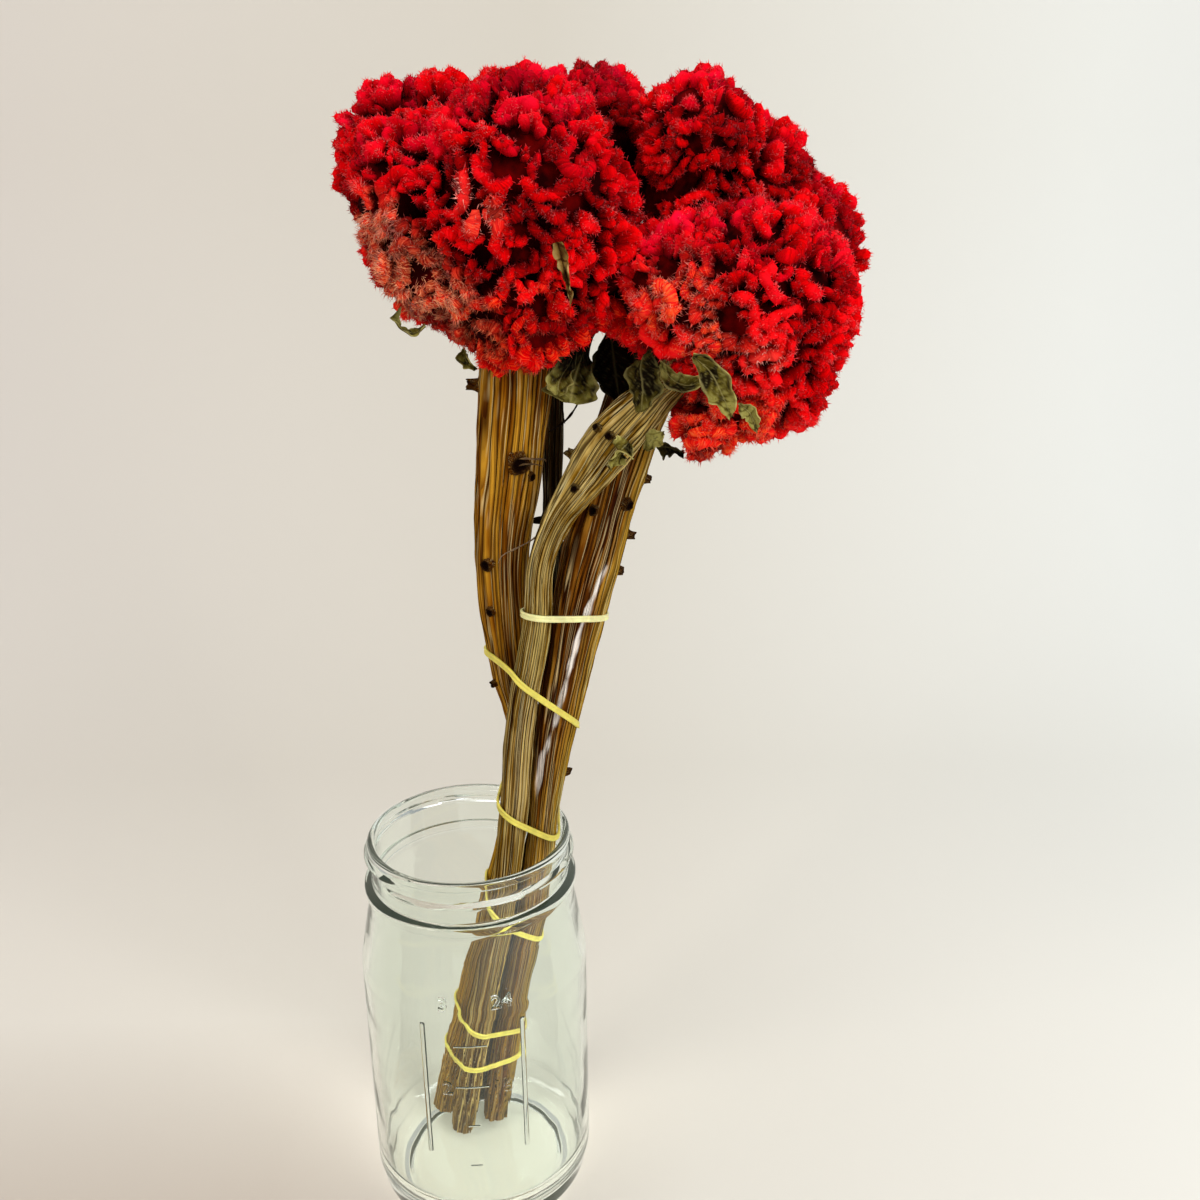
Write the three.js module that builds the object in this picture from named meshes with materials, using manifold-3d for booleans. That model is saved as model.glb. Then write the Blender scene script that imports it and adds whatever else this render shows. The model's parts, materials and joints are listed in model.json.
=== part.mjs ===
// A bunch of four dried cockscomb celosia stems, held by rubber bands, standing in a wide-mouth glass jar.
// Millimetres, +Z up. The origin is the centre of the jar's flat base.
import * as THREE from "three";
import { mergeVertices } from "three/addons/utils/BufferGeometryUtils.js";
import Module from "manifold-3d";

const wasm = await Module();
wasm.setup();

// ---------------------------------------------------------------- driving dimensions

const GAP = 0.4; // left between pieces that touch

const JAR = {
  height: 177,
  bodyRadius: 49.5,
  footRadius: 40,
  heelHeight: 14,
  shoulderStart: 118,
  neckBottom: 152.5,
  neckRadius: 42.4,
  beadHeight: 155.9,
  beadRadius: 45.6,
  lipRadius: 43.3,
  mouthRadius: 40,
  wall: 3,
  floor: 6,
  sides: 32,
};
// The screw thread is right-handed: the angle and height where it starts, its climb, its half width and how
// far it stands out of the neck.
const THREAD = { from: 218, height: 165.8, turns: 1.07, pitch: 6.3, half: 1.5, out: 2.5, steps: 18 };
// Two upright ribs frame the jar's front panel.
const PANEL_RIBS = { angles: [249.6, 298.4], width: 2.3, out: 1.1, height: 82, length: 66 };

// Each stem is a ribbed, flattened stalk. A row is one station: x, y, z of its centre, then half width and
// half depth. facing turns the wide side, in degrees from +X.
const STEMS = {
  stem_left: {
    facing: 4,
    stations: [
      [-22.4, 25.8, 9, 6.2, 5.4],
      [-7, 18, 75, 6.2, 5.6],
      [12.5, 8.5, 150, 6, 5.7],
      [23.4, 4.6, 197, 5.9, 5.8],
      [25.6, -2, 224, 6.4, 5.8],
      [22.4, -12.5, 258, 8.4, 6],
      [21.2, -24, 306, 10.2, 6.6],
      [25.4, -30.5, 341, 11.8, 7.4],
      [29.6, -36.5, 375, 12.8, 8.4],
      [32, -42, 402, 14, 9.5],
    ],
  },
  stem_right: {
    facing: 8,
    stations: [
      [3, 20.5, 8.2, 6.3, 6],
      [14, 12, 75, 6.2, 6.2],
      [28, -1.5, 150, 6.2, 6.5],
      [33.9, -9, 197, 6.3, 6.7],
      [39.6, -15, 234, 8, 6.8],
      [45.8, -20, 265, 9.6, 7],
      [53.6, -26.5, 303, 11, 7.2],
      [61.5, -30.5, 333, 11, 7.6],
      [70, -29, 360, 11.5, 8],
      [82, -25, 388, 13, 8.5],
      [98, -22, 420, 15, 9],
    ],
  },
  stem_front: {
    facing: -8,
    stations: [
      [-12, 12.5, 8.2, 5.4, 5.2],
      [0.5, 3.5, 75, 5.6, 5.6],
      [14.9, -6.8, 150, 5.7, 5.8],
      [21, -12.9, 197, 5.8, 6.2],
      [25.9, -22, 240, 5.6, 5.2],
      [34, -33, 283, 5.2, 4.6],
      [36.8, -38.5, 309.4, 4.6, 4.4],
      [42.8, -42, 325.5, 5, 4.5],
      [52.5, -46, 340.4, 7.2, 4.8],
      [62, -50.3, 354.5, 9, 5],
      [73.3, -53.5, 367, 7.6, 5],
      [80.6, -53.5, 373.5, 6.2, 5],
      [89, -53, 382, 7.4, 6],
      [99, -52, 393, 8, 7],
    ],
  },
  stem_back: {
    facing: 20,
    stations: [
      [-7, 33, 8.2, 4.6, 4.4],
      [5, 27.5, 75, 4.6, 4.6],
      [25, 15, 150, 4.7, 4.7],
      [34.9, 8.6, 197, 4.5, 4.8],
      [38.2, 1, 240, 4, 4.4],
      [39.2, -7.5, 290, 3.7, 3.9],
      [40.2, -13.5, 335, 3.6, 3.5],
      [41.6, -15, 381, 3.8, 4.2],
      [41, -14, 430, 8, 7],
    ],
  },
};
const STEM_SIDES = 20;
const STEM_STEPS = 12;
const RIB_HEIGHT = 0.7;

// Leaf scars and broken petioles: stem, share of its length, angle round it in degrees, length, radius.
const STUBS = [
  ["stem_left", 0.796, -76, 1.8, 3.4],
  ["stem_left", 0.874, 178, 3.6, 1.8],
  ["stem_left", 0.668, -122, 1, 2.2],
  ["stem_left", 0.542, 214, 1.6, 1.3],
  ["stem_right", 0.694, -58, 1.2, 1.8],
  ["stem_right", 0.68, -118, 1, 1.6],
  ["stem_right", 0.726, 2, 2.2, 1.5],
  ["stem_right", 0.65, -4, 2.2, 1.4],
  ["stem_right", 0.6, 0, 2, 1.5],
  ["stem_right", 0.335, 4, 2, 1.5],
  ["stem_front", 0.606, -102, 1, 1.3],
  ["stem_front", 0.706, -106, 1, 1.3],
  ["stem_front", 0.64, 174, 2.2, 1.5],
  ["stem_back", 0.7, 160, 3, 1.2],
];

// Rubber bands: the stems inside, mean height, how far the loop tilts up and down, and the side that is
// highest, in degrees.
const BANDS = {
  band_pair: { around: ["stem_right", "stem_front"], height: 285, tilt: 3, high: 200 },
  band_upper: { around: Object.keys(STEMS), height: 249, tilt: 17, high: 190 },
  band_rim: { around: Object.keys(STEMS), height: 190, tilt: 11, high: 165 },
  band_neck: { around: Object.keys(STEMS), height: 136, tilt: 14, high: 175 },
  band_low: { around: Object.keys(STEMS), height: 73, tilt: 6, high: 170 },
  band_lowest: { around: Object.keys(STEMS), height: 51, tilt: 1.5, high: 170 },
};
const BAND = { width: 2.6, thickness: 1.2, clearance: 1.05, steps: 22 };

// Flower heads: each crest is a group of rounded lobes. A lobe is its centre and its three half sizes.
const HEADS = {
  head_left: [
    { at: [34, -50, 431], half: [33.5, 30, 38] },
    { at: [-4.5, -42, 433], half: [17.5, 23, 24] },
    { at: [9.5, -47, 413.5], half: [21.5, 23, 20.5] },
    { at: [32, -52, 399], half: [21, 21, 18.5] },
    { at: [54, -42, 414], half: [18, 22, 22] },
  ],
  head_back: [
    { at: [-2.5, -10, 445.5], half: [28.5, 24, 26] },
    { at: [29, -8, 449], half: [31, 25, 23.5] },
    { at: [58.5, -10, 451], half: [19.5, 23, 24] },
  ],
  head_right: [
    { at: [91.5, -33, 452], half: [19.5, 20, 18] },
    { at: [87, -24, 434], half: [18, 21, 20] },
    { at: [112.5, -18, 435.5], half: [20.5, 22, 21.5] },
    { at: [128.5, -18, 414], half: [21, 22, 23] },
  ],
  head_front: [
    { at: [107.5, -53, 400], half: [33.5, 30, 32] },
    { at: [107, -46, 371], half: [21, 22, 15] },
    { at: [122, -45, 377], half: [15, 18, 15.5] },
    { at: [79, -49, 404], half: [17, 21, 18] },
    { at: [93.5, -57, 359.5], half: [8.5, 10, 9.5] },
  ],
};
const BLEND = 12; // how wide the hollows between a head's lobes are rounded out

// Where two heads press on each other they flatten against a plane: first head, second head, a point, the
// direction from the first to the second.
const CONTACTS = [
  ["head_left", "head_front", [67, -50, 410], [1, 0, -0.25]],
  ["head_left", "head_right", [74, -40, 440], [1, 0.3, 0.1]],
  ["head_left", "head_back", [20, -29, 440], [-0.05, 1, 0.15]],
  ["head_back", "head_right", [79, -20, 445], [1, -0.3, 0]],
  ["head_back", "head_front", [72, -30, 420], [1, -0.4, -0.4]],
];
// The right head is dented by the front head, which keeps its round shape: the room it needs past its lobes.
const DENT = { head: "head_right", by: "head_front", room: 7.6 };

// A ruffle is a cupped fan of the crest. Its rim curls round an arc, and its root is sunk in the core.
const RUFFLE = {
  spacing: 22,
  rimRadius: 7.6,
  rootRadius: 3,
  reach: 2.6, // how far its rim stands above the lobe
  depth: 12, // from the lobe's surface to its root
  halfArc: 1.7, // radians
  thickness: 3.6,
  segments: 3,
};
const CORE_SHARE = 0.78; // the core's size against the lobe's

// Dried leaves. rib is the route of the midrib, side the way the blade spreads across it. The blade closes
// about the midrib by fold (radians), and its edges wave. wide says where along the rib it is widest.
const LEAVES = {
  leaf_hanging: {
    rib: [[56.6, -34, 391], [53.1, -40, 383.4], [49.7, -45.5, 374.4], [48.2, -47.5, 367.3]],
    side: [1, -0.1, -0.35], width: 10, fold: 0.25, wave: 1.6, wide: 0.78,
  },
  leaf_shaded: {
    rib: [[62.1, -37, 390.9], [63.3, -38.5, 380.4], [65, -41.5, 367]],
    side: [1, 0, 0.1], width: 8.5, fold: -0.2, wave: 1, wide: 0.6,
  },
  leaf_drooping: {
    rib: [[51.8, -45, 388.4], [48.7, -49, 381], [45.1, -52, 375.4], [44.2, -53.5, 370.8]],
    side: [0.9, 0.2, 0.5], width: 5, fold: 0.5, wave: 1.2, wide: 0.7,
  },
  leaf_veined: {
    rib: [[74.2, -56, 385.3], [71.7, -61, 381.1], [72.2, -64, 373.8], [71.6, -63.5, 366.7]],
    side: [0.8, -0.3, 0.6], width: 7, fold: -0.35, wave: 1, wide: 0.5,
  },
  leaf_arched: {
    rib: [[78, -64, 382.1], [81.6, -69, 377.6], [86.7, -73, 376.3], [92.9, -76.5, 380.3]],
    side: [0.3, 0.3, 1], width: 3.6, fold: 0.7, wave: 0.8, wide: 0.45,
  },
  leaf_right: {
    rib: [[87.2, -76.5, 385.9], [92.5, -80, 381.2], [96.4, -79, 373.9], [99.7, -74.5, 366.5]],
    side: [0.9, -0.2, 0.4], width: 4.7, fold: 0.4, wave: 0.9, wide: 0.5,
  },
  leaf_small: {
    rib: [[102, -75.5, 371.4], [105.6, -74.5, 368], [108.4, -70, 362]],
    side: [0.9, -0.3, 0.4], width: 2.8, fold: 0.4, wave: 0.5, wide: 0.5,
  },
  leaf_torn: {
    rib: [[67.8, -59, 355.9], [64.4, -60.2, 352.8], [61.4, -60, 347.3]],
    side: [0.7, 0.3, 0.7], width: 4.6, fold: 0.25, wave: 1.1, wide: 0.35,
  },
  leaf_ragged: {
    rib: [[73.2, -58.5, 353.2], [75.9, -59, 356.8], [79.4, -59.5, 358.8]],
    side: [0.6, -0.2, -0.8], width: 3.2, fold: 0.3, wave: 0.8, wide: 0.5,
  },
  leaf_dark: {
    rib: [[77.3, -49, 352.6], [81.3, -49.5, 352.3], [86.9, -48, 349.9]],
    side: [0.2, -0.5, 0.8], width: 3.4, fold: 0.6, wave: 0.7, wide: 0.45,
  },
  leaf_tail: {
    rib: [[2.4, -56, 393.5], [-1.5, -57.5, 391.2], [-5.5, -58, 393], [-8.5, -57, 397]],
    side: [0.1, -0.9, -0.4], width: 1.9, fold: 0.5, wave: 0.3, wide: 0.3,
  },
  leaf_bract: {
    rib: [[46.4, -81.5, 420.2], [48.3, -80.5, 412.5], [49.9, -74.5, 404]],
    side: [1, -0.1, 0], width: 3.4, fold: 0.35, wave: 0.5, wide: 0.15,
  },
  leaf_under: {
    rib: [[13.2, -46.5, 385.6], [14.3, -50, 382], [17.4, -51.5, 379.4]],
    side: [0.8, -0.2, 0.6], width: 2.6, fold: 0.8, wave: 0.5, wide: 0.5,
  },
};
const LEAF = { thickness: 0.8, along: 8, across: 2 };

const COLOURS = {
  glass: 0xdfeae4,
  stem: 0x8a6430,
  crest: 0xc01428,
  leaf: 0x6f6a34,
  band: 0xe2d158,
};

// ---------------------------------------------------------------- small tools

// A repeatable stream of numbers from 0 to 1.
function seeded(seed) {
  let state = seed >>> 0;
  return () => {
    state = (Math.imul(state, 1664525) + 1013904223) >>> 0;
    return state / 4294967296;
  };
}

const vec = (a) => new THREE.Vector3(...a);

// A closed geometry as a solid, its faces turned outwards.
function solidOf(geometry) {
  const bare = geometry.clone();
  bare.deleteAttribute("normal");
  bare.deleteAttribute("uv");
  const merged = mergeVertices(bare, 1e-4);
  const vertProperties = merged.attributes.position.array;
  const triVerts = new Uint32Array(merged.index.array);
  const solid = new wasm.Manifold(new wasm.Mesh({ numProp: 3, vertProperties, triVerts }));
  if (solid.volume() > 0) return solid;
  for (let i = 0; i < triVerts.length; i += 3) {
    [triVerts[i + 1], triVerts[i + 2]] = [triVerts[i + 2], triVerts[i + 1]];
  }
  return new wasm.Manifold(new wasm.Mesh({ numProp: 3, vertProperties, triVerts }));
}

function geometryOf(solid) {
  const mesh = solid.getMesh();
  const made = new THREE.BufferGeometry();
  made.setAttribute("position", new THREE.BufferAttribute(mesh.vertProperties, 3));
  made.setIndex(new THREE.BufferAttribute(mesh.triVerts, 1));
  made.computeVertexNormals();
  return made;
}

// The largest body of a solid, without the loose scraps that cutting leaves.
function mainBody(solid) {
  const bodies = solid.decompose();
  bodies.sort((a, b) => b.volume() - a.volume());
  return bodies[0];
}

// A closed plate: surface(u, v) gives its middle, u and v run from 0 to 1, and both faces are split alike.
function plate(surface, thickness, uSteps, vSteps) {
  const grid = new THREE.PlaneGeometry(1, 1, uSteps, vSteps);
  const uv = grid.attributes.uv;
  const count = uv.count;
  const points = new Float32Array(count * 6);
  const step = 1e-3;
  for (let i = 0; i < count; i++) {
    const u = uv.getX(i);
    const v = uv.getY(i);
    const middle = surface(u, v);
    const alongU = surface(Math.min(u + step, 1), v).sub(surface(Math.max(u - step, 0), v));
    const alongV = surface(u, Math.min(v + step, 1)).sub(surface(u, Math.max(v - step, 0)));
    const normal = alongU.cross(alongV).normalize().multiplyScalar(thickness / 2);
    middle.clone().add(normal).toArray(points, i * 3);
    middle.clone().sub(normal).toArray(points, (count + i) * 3);
  }
  const faces = [];
  const index = grid.index.array;
  for (let i = 0; i < index.length; i += 3) {
    const [a, b, c] = [index[i], index[i + 1], index[i + 2]];
    faces.push(a, b, c, count + a, count + c, count + b);
  }
  const row = uSteps + 1;
  const border = [];
  for (let i = 0; i < uSteps; i++) border.push(i);
  for (let i = 0; i < vSteps; i++) border.push(uSteps + i * row);
  for (let i = uSteps; i > 0; i--) border.push(vSteps * row + i);
  for (let i = vSteps; i > 0; i--) border.push(i * row);
  border.forEach((a, i) => {
    const b = border[(i + 1) % border.length];
    faces.push(a, b, count + b, a, count + b, count + a);
  });
  const made = new THREE.BufferGeometry();
  made.setAttribute("position", new THREE.BufferAttribute(points, 3));
  made.setIndex(faces);
  return solidOf(made);
}

// ---------------------------------------------------------------- jar

function arc(cx, cy, radius, fromDegrees, toDegrees, steps) {
  return Array.from({ length: steps + 1 }, (_, i) => {
    const a = THREE.MathUtils.degToRad(fromDegrees + ((toDegrees - fromDegrees) * i) / steps);
    return new THREE.Vector2(cx + radius * Math.cos(a), cy + radius * Math.sin(a));
  });
}

function makeJar() {
  const J = JAR;
  const inner = J.bodyRadius - J.wall;
  const lipRound = (J.lipRadius - J.mouthRadius) / 2;
  const profile = [
    new THREE.Vector2(0, 0),
    new THREE.Vector2(J.footRadius, 0),
    new THREE.Vector2(J.footRadius + 5.5, 2.8),
    new THREE.Vector2(J.bodyRadius - 1, 8.5),
    new THREE.Vector2(J.bodyRadius, J.heelHeight + 4),
    new THREE.Vector2(J.bodyRadius, J.shoulderStart),
    new THREE.Vector2(J.bodyRadius - 1.3, J.shoulderStart + 13),
    new THREE.Vector2(J.bodyRadius - 4.2, J.shoulderStart + 24),
    new THREE.Vector2(J.neckRadius + 0.8, J.neckBottom),
    new THREE.Vector2(J.beadRadius, J.beadHeight - 1.5),
    new THREE.Vector2(J.beadRadius, J.beadHeight + 1.5),
    new THREE.Vector2(J.neckRadius, J.beadHeight + 2.8),
    new THREE.Vector2(J.neckRadius, J.height - 4),
    new THREE.Vector2(J.lipRadius, J.height - 3),
    ...arc(J.mouthRadius + lipRound, J.height - lipRound, lipRound, 0, 180, 4),
    new THREE.Vector2(J.mouthRadius, J.neckBottom),
    new THREE.Vector2(inner - 3.6, J.shoulderStart + 22),
    new THREE.Vector2(inner, J.shoulderStart - 2),
    new THREE.Vector2(inner, J.heelHeight + 5),
    new THREE.Vector2(inner - 3, J.floor + 2.4),
    new THREE.Vector2(inner - 9, J.floor),
    new THREE.Vector2(0, J.floor),
  ];
  const glass = solidOf(new THREE.LatheGeometry(profile, J.sides).rotateX(Math.PI / 2));
  return wasm.Manifold.union([glass, makeThread(), ...PANEL_RIBS.angles.map(makePanelRib)]);
}

// The thread is a four-sided ridge wound round the neck, and its ends run out into the glass.
function makeThread() {
  const T = THREAD;
  const ridge = new THREE.CylinderGeometry(Math.SQRT2, Math.SQRT2, 1, 4, T.steps);
  ridge.rotateY(Math.PI / 4);
  const sunk = 0.6;
  const spot = ridge.attributes.position;
  for (let i = 0; i < spot.count; i++) {
    const along = spot.getY(i) + 0.5;
    const turn = THREE.MathUtils.degToRad(T.from) + along * T.turns * 2 * Math.PI;
    const ease = Math.min(1, 9 * Math.min(along, 1 - along) + 0.1);
    const top = spot.getX(i) > 0;
    const radius = JAR.neckRadius + (top ? T.out * ease : -sunk);
    const half = T.half * (top ? 0.6 : 1) * ease;
    const height = T.height + along * T.turns * T.pitch + Math.sign(spot.getZ(i)) * half;
    spot.setXYZ(i, radius * Math.cos(turn), radius * Math.sin(turn), height);
  }
  return solidOf(ridge);
}

function makePanelRib(degrees) {
  const R = PANEL_RIBS;
  const rib = new THREE.BoxGeometry(2 * R.out, R.width, R.length);
  rib.translate(JAR.bodyRadius, 0, R.height);
  rib.rotateZ(THREE.MathUtils.degToRad(degrees));
  return solidOf(rib);
}

// ---------------------------------------------------------------- stems

function stemLine(name) {
  const rows = STEMS[name].stations;
  const centre = new THREE.CatmullRomCurve3(rows.map((r) => vec(r.slice(0, 3))), false, "centripetal");
  const turn = THREE.MathUtils.degToRad(STEMS[name].facing);
  const wide = new THREE.Vector3(Math.cos(turn), Math.sin(turn), 0);
  const last = rows.length - 1;
  // Half width and half depth at a share t of the stations.
  const half = (t, column) => {
    const place = Math.min(t * last, last - 1e-9);
    const k = Math.floor(place);
    return THREE.MathUtils.lerp(rows[k][column], rows[k + 1][column], place - k);
  };
  return {
    at(t) {
      const tangent = centre.getTangent(t);
      const across = wide.clone().addScaledVector(tangent, -wide.dot(tangent)).normalize();
      const deep = new THREE.Vector3().crossVectors(tangent, across);
      return { centre: centre.getPoint(t), tangent, across, deep, width: half(t, 3), depth: half(t, 4) };
    },
    // The share t at which the stem passes a height.
    shareAt(z) {
      let low = 0;
      let high = 1;
      for (let i = 0; i < 30; i++) {
        const middle = (low + high) / 2;
        if (centre.getPoint(middle).z < z) low = middle;
        else high = middle;
      }
      return low;
    },
  };
}

// A point on a stem's skin, grown outwards by extra.
function skin(station, angle, extra) {
  const c = Math.cos(angle);
  const s = Math.sin(angle);
  const boxy = 1 / (Math.abs(c) ** 2.4 + Math.abs(s) ** 2.4) ** (1 / 2.4);
  return station.centre
    .clone()
    .addScaledVector(station.across, c * boxy * (station.width + extra))
    .addScaledVector(station.deep, s * boxy * (station.depth + extra));
}

function makeStem(name, grow) {
  const line = stemLine(name);
  const tube = new THREE.CylinderGeometry(1, 1, 1, STEM_SIDES, STEM_STEPS);
  const spot = tube.attributes.position;
  for (let i = 0; i < spot.count; i++) {
    const t = spot.getY(i) + 0.5;
    const radius = Math.hypot(spot.getX(i), spot.getZ(i));
    const station = line.at(t);
    const end = t < 1e-6 ? -1 : t > 1 - 1e-6 ? 1 : 0;
    if (grow) station.centre.addScaledVector(station.tangent, end * grow);
    if (radius < 1e-6) {
      station.centre.toArray(spot.array, i * 3);
      continue;
    }
    const angle = Math.atan2(spot.getZ(i), spot.getX(i));
    const side = Math.round((angle / (2 * Math.PI)) * STEM_SIDES);
    const rib = side % 2 === 0 ? RIB_HEIGHT / 2 : -RIB_HEIGHT / 2;
    skin(station, angle, rib + grow).toArray(spot.array, i * 3);
  }
  let solid = solidOf(tube);
  for (const [owner, share, degrees, length, radius] of STUBS) {
    if (owner !== name) continue;
    const station = line.at(share);
    const angle = THREE.MathUtils.degToRad(degrees);
    const root = skin(station, angle, -1.5);
    const out = skin(station, angle, 4).sub(root).normalize();
    const stub = new THREE.CylinderGeometry(radius * 0.6 + grow, radius + grow, length + 2 + grow, 5);
    stub.translate(0, (length + 2) / 2, 0);
    stub.applyQuaternion(new THREE.Quaternion().setFromUnitVectors(new THREE.Vector3(0, 1, 0), out));
    stub.translate(...root.toArray());
    solid = solid.add(solidOf(stub));
  }
  return solid;
}

// ---------------------------------------------------------------- rubber bands

// Corners of the tight loop round a set of points in a plane, anticlockwise.
function hullOf(points) {
  const sorted = [...points].sort((p, q) => p.x - q.x || p.y - q.y);
  const turn = (o, a, b) => (a.x - o.x) * (b.y - o.y) - (a.y - o.y) * (b.x - o.x);
  const half = (list) => {
    const kept = [];
    for (const p of list) {
      while (kept.length > 1 && turn(kept.at(-2), kept.at(-1), p) <= 0) kept.pop();
      kept.push(p);
    }
    kept.pop();
    return kept;
  };
  return [...half(sorted), ...half(sorted.reverse())];
}

// The distance from a centre to the stems' common outline at one height, in one direction.
function outlineReach(names, z, centre, angle) {
  const points = [];
  const room = RIB_HEIGHT / 2 + BAND.clearance + BAND.thickness / 2;
  for (const name of names) {
    const line = stemLine(name);
    for (const level of [z - BAND.width, z, z + BAND.width]) {
      const station = line.at(line.shareAt(level));
      for (let i = 0; i < 24; i++) {
        const p = skin(station, (i / 24) * 2 * Math.PI, room);
        points.push(new THREE.Vector2(p.x, p.y));
      }
    }
  }
  const hull = hullOf(points);
  const way = new THREE.Vector2(Math.cos(angle), Math.sin(angle));
  let reach = 0;
  hull.forEach((a, i) => {
    const b = hull[(i + 1) % hull.length];
    const edge = b.clone().sub(a);
    const away = a.clone().sub(centre);
    const cross = way.x * edge.y - way.y * edge.x;
    if (Math.abs(cross) < 1e-9) return;
    const along = (away.x * edge.y - away.y * edge.x) / cross;
    const share = (away.x * way.y - away.y * way.x) / cross;
    if (share >= -1e-9 && share <= 1 + 1e-9) reach = Math.max(reach, along);
  });
  return reach;
}

function makeBand({ around, height, tilt, high }) {
  const middle = new THREE.Vector2();
  for (const name of around) {
    const line = stemLine(name);
    const c = line.at(line.shareAt(height)).centre;
    middle.add(new THREE.Vector2(c.x, c.y).divideScalar(around.length));
  }
  const steps = BAND.steps;
  const lean = THREE.MathUtils.degToRad(high);
  const loop = Array.from({ length: steps }, (_, i) => {
    const angle = (i / steps) * 2 * Math.PI;
    const z = height + tilt * Math.cos(angle - lean);
    const shift = new THREE.Vector2();
    for (const name of around) {
      const line = stemLine(name);
      const c = line.at(line.shareAt(z)).centre;
      shift.add(new THREE.Vector2(c.x, c.y).divideScalar(around.length));
    }
    const reach = outlineReach(around, z, shift, angle);
    return new THREE.Vector3(shift.x + reach * Math.cos(angle), shift.y + reach * Math.sin(angle), z);
  });
  const ring = new THREE.TorusGeometry(10, 1, 4, steps);
  const spot = ring.attributes.position;
  const columns = steps + 1;
  for (let i = 0; i < spot.count; i++) {
    const k = (i % columns) % steps;
    const corner = Math.floor(i / columns) % 4;
    const before = loop[(k + steps - 1) % steps];
    const after = loop[(k + 1) % steps];
    const along = after.clone().sub(before).normalize();
    const up = new THREE.Vector3(0, 0, 1).addScaledVector(along, -along.z).normalize();
    const out = new THREE.Vector3().crossVectors(along, up);
    const sideways = corner === 0 || corner === 3 ? 1 : -1;
    const upwards = corner < 2 ? 1 : -1;
    loop[k]
      .clone()
      .addScaledVector(out, (sideways * BAND.thickness) / 2)
      .addScaledVector(up, (upwards * BAND.width) / 2)
      .toArray(spot.array, i * 3);
  }
  return solidOf(ring);
}

// ---------------------------------------------------------------- flower heads

// About how far a point is outside a lobe, negative inside it.
function lobeDistance(p, lobe) {
  const [x, y, z] = [0, 1, 2].map((i) => (p.getComponent(i) - lobe.at[i]) / lobe.half[i]);
  const near = Math.hypot(x, y, z);
  const slope = Math.hypot(x / lobe.half[0], y / lobe.half[1], z / lobe.half[2]);
  return (near * (near - 1)) / Math.max(slope, 1e-6);
}

// The same for a whole head, the hollows between its lobes rounded out.
function headDistance(p, lobes) {
  let far = Infinity;
  for (const lobe of lobes) {
    const other = lobeDistance(p, lobe);
    const overlap = Math.max(BLEND - Math.abs(far - other), 0) / BLEND;
    far = Math.min(far, other) - (overlap * overlap * BLEND) / 4;
  }
  return far;
}

// The direction straight out of a head at a point.
function outOfHead(p, lobes) {
  const step = 0.1;
  const slope = [0, 1, 2].map((i) => {
    const ahead = p.clone().setComponent(i, p.getComponent(i) + step);
    const behind = p.clone().setComponent(i, p.getComponent(i) - step);
    return headDistance(ahead, lobes) - headDistance(behind, lobes);
  });
  return vec(slope).normalize();
}

// The planes that bound a head: each is a point and the direction that is cut away.
function contactPlanes(name) {
  const planes = [];
  for (const [first, second, at, way] of CONTACTS) {
    const direction = vec(way).normalize();
    if (name === first) planes.push({ at: vec(at), out: direction });
    if (name === second) planes.push({ at: vec(at), out: direction.clone().negate() });
  }
  return planes;
}

// Where the ruffles stand on a head: evenly on every lobe, away from lobes and neighbours that bury them, and
// lifted out of the hollows between lobes.
function ruffleSpots(name, spacing, seed) {
  const lobes = HEADS[name];
  const planes = contactPlanes(name);
  const random = seeded(seed);
  const spots = [];
  for (const lobe of lobes) {
    const [a, b, c] = lobe.half;
    const area = 4 * Math.PI * (((a * b) ** 1.6 + (a * c) ** 1.6 + (b * c) ** 1.6) / 3) ** (1 / 1.6);
    const count = Math.round(area / (spacing * spacing));
    for (let i = 0; i < count; i++) {
      const height = 1 - (2 * (i + 0.5)) / count;
      const ring = Math.sqrt(1 - height * height);
      const angle = i * Math.PI * (3 - Math.sqrt(5)) + 0.5 * (random() - 0.5);
      const way = new THREE.Vector3(ring * Math.cos(angle), ring * Math.sin(angle), height);
      const turn = random() * 2 * Math.PI;
      const size = 0.85 + 0.35 * random();
      const rise = random() - 0.5;
      const at = new THREE.Vector3(a * way.x, b * way.y, c * way.z).add(vec(lobe.at));
      if (lobes.some((other) => other !== lobe && lobeDistance(at, other) < -1.2)) continue;
      if (planes.some((plane) => at.clone().sub(plane.at).dot(plane.out) > -1)) continue;
      const normal = outOfHead(at, lobes);
      at.addScaledVector(normal, -headDistance(at, lobes));
      if (name === DENT.head && HEADS[DENT.by].some((lobe) => lobeDistance(at, lobe) < 1)) continue;
      if (spots.some((other) => other.at.distanceTo(at) < 0.62 * spacing)) continue;
      spots.push({ at, normal, turn, size, rise });
    }
  }
  return spots;
}

function makeRuffle(spot, shape) {
  const across = new THREE.Vector3(0, 0, 1).cross(spot.normal);
  if (across.length() < 1e-3) across.set(1, 0, 0);
  across.normalize().applyAxisAngle(spot.normal, spot.turn);
  const beside = new THREE.Vector3().crossVectors(spot.normal, across);
  const surface = (u, v) => {
    const angle = (2 * u - 1) * shape.halfArc;
    const flare = shape.rootRadius + (shape.rimRadius - shape.rootRadius) * v;
    const radius = flare * spot.size;
    const top = shape.reach + 1.6 * spot.rise + 1.2 * Math.cos(angle);
    const height = -shape.depth + (shape.depth + top) * v;
    return spot.at
      .clone()
      .addScaledVector(across, radius * (Math.cos(angle) - 0.3))
      .addScaledVector(beside, radius * Math.sin(angle))
      .addScaledVector(spot.normal, height);
  };
  return plate(surface, shape.thickness, shape.segments, 1);
}

// A lobe as a plain rounded solid, its half sizes changed by a rule.
function lobeSolid(lobe, resize, detail) {
  const round = new THREE.IcosahedronGeometry(1, detail);
  return solidOf(round.scale(...lobe.half.map(resize)).translate(...lobe.at));
}

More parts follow.
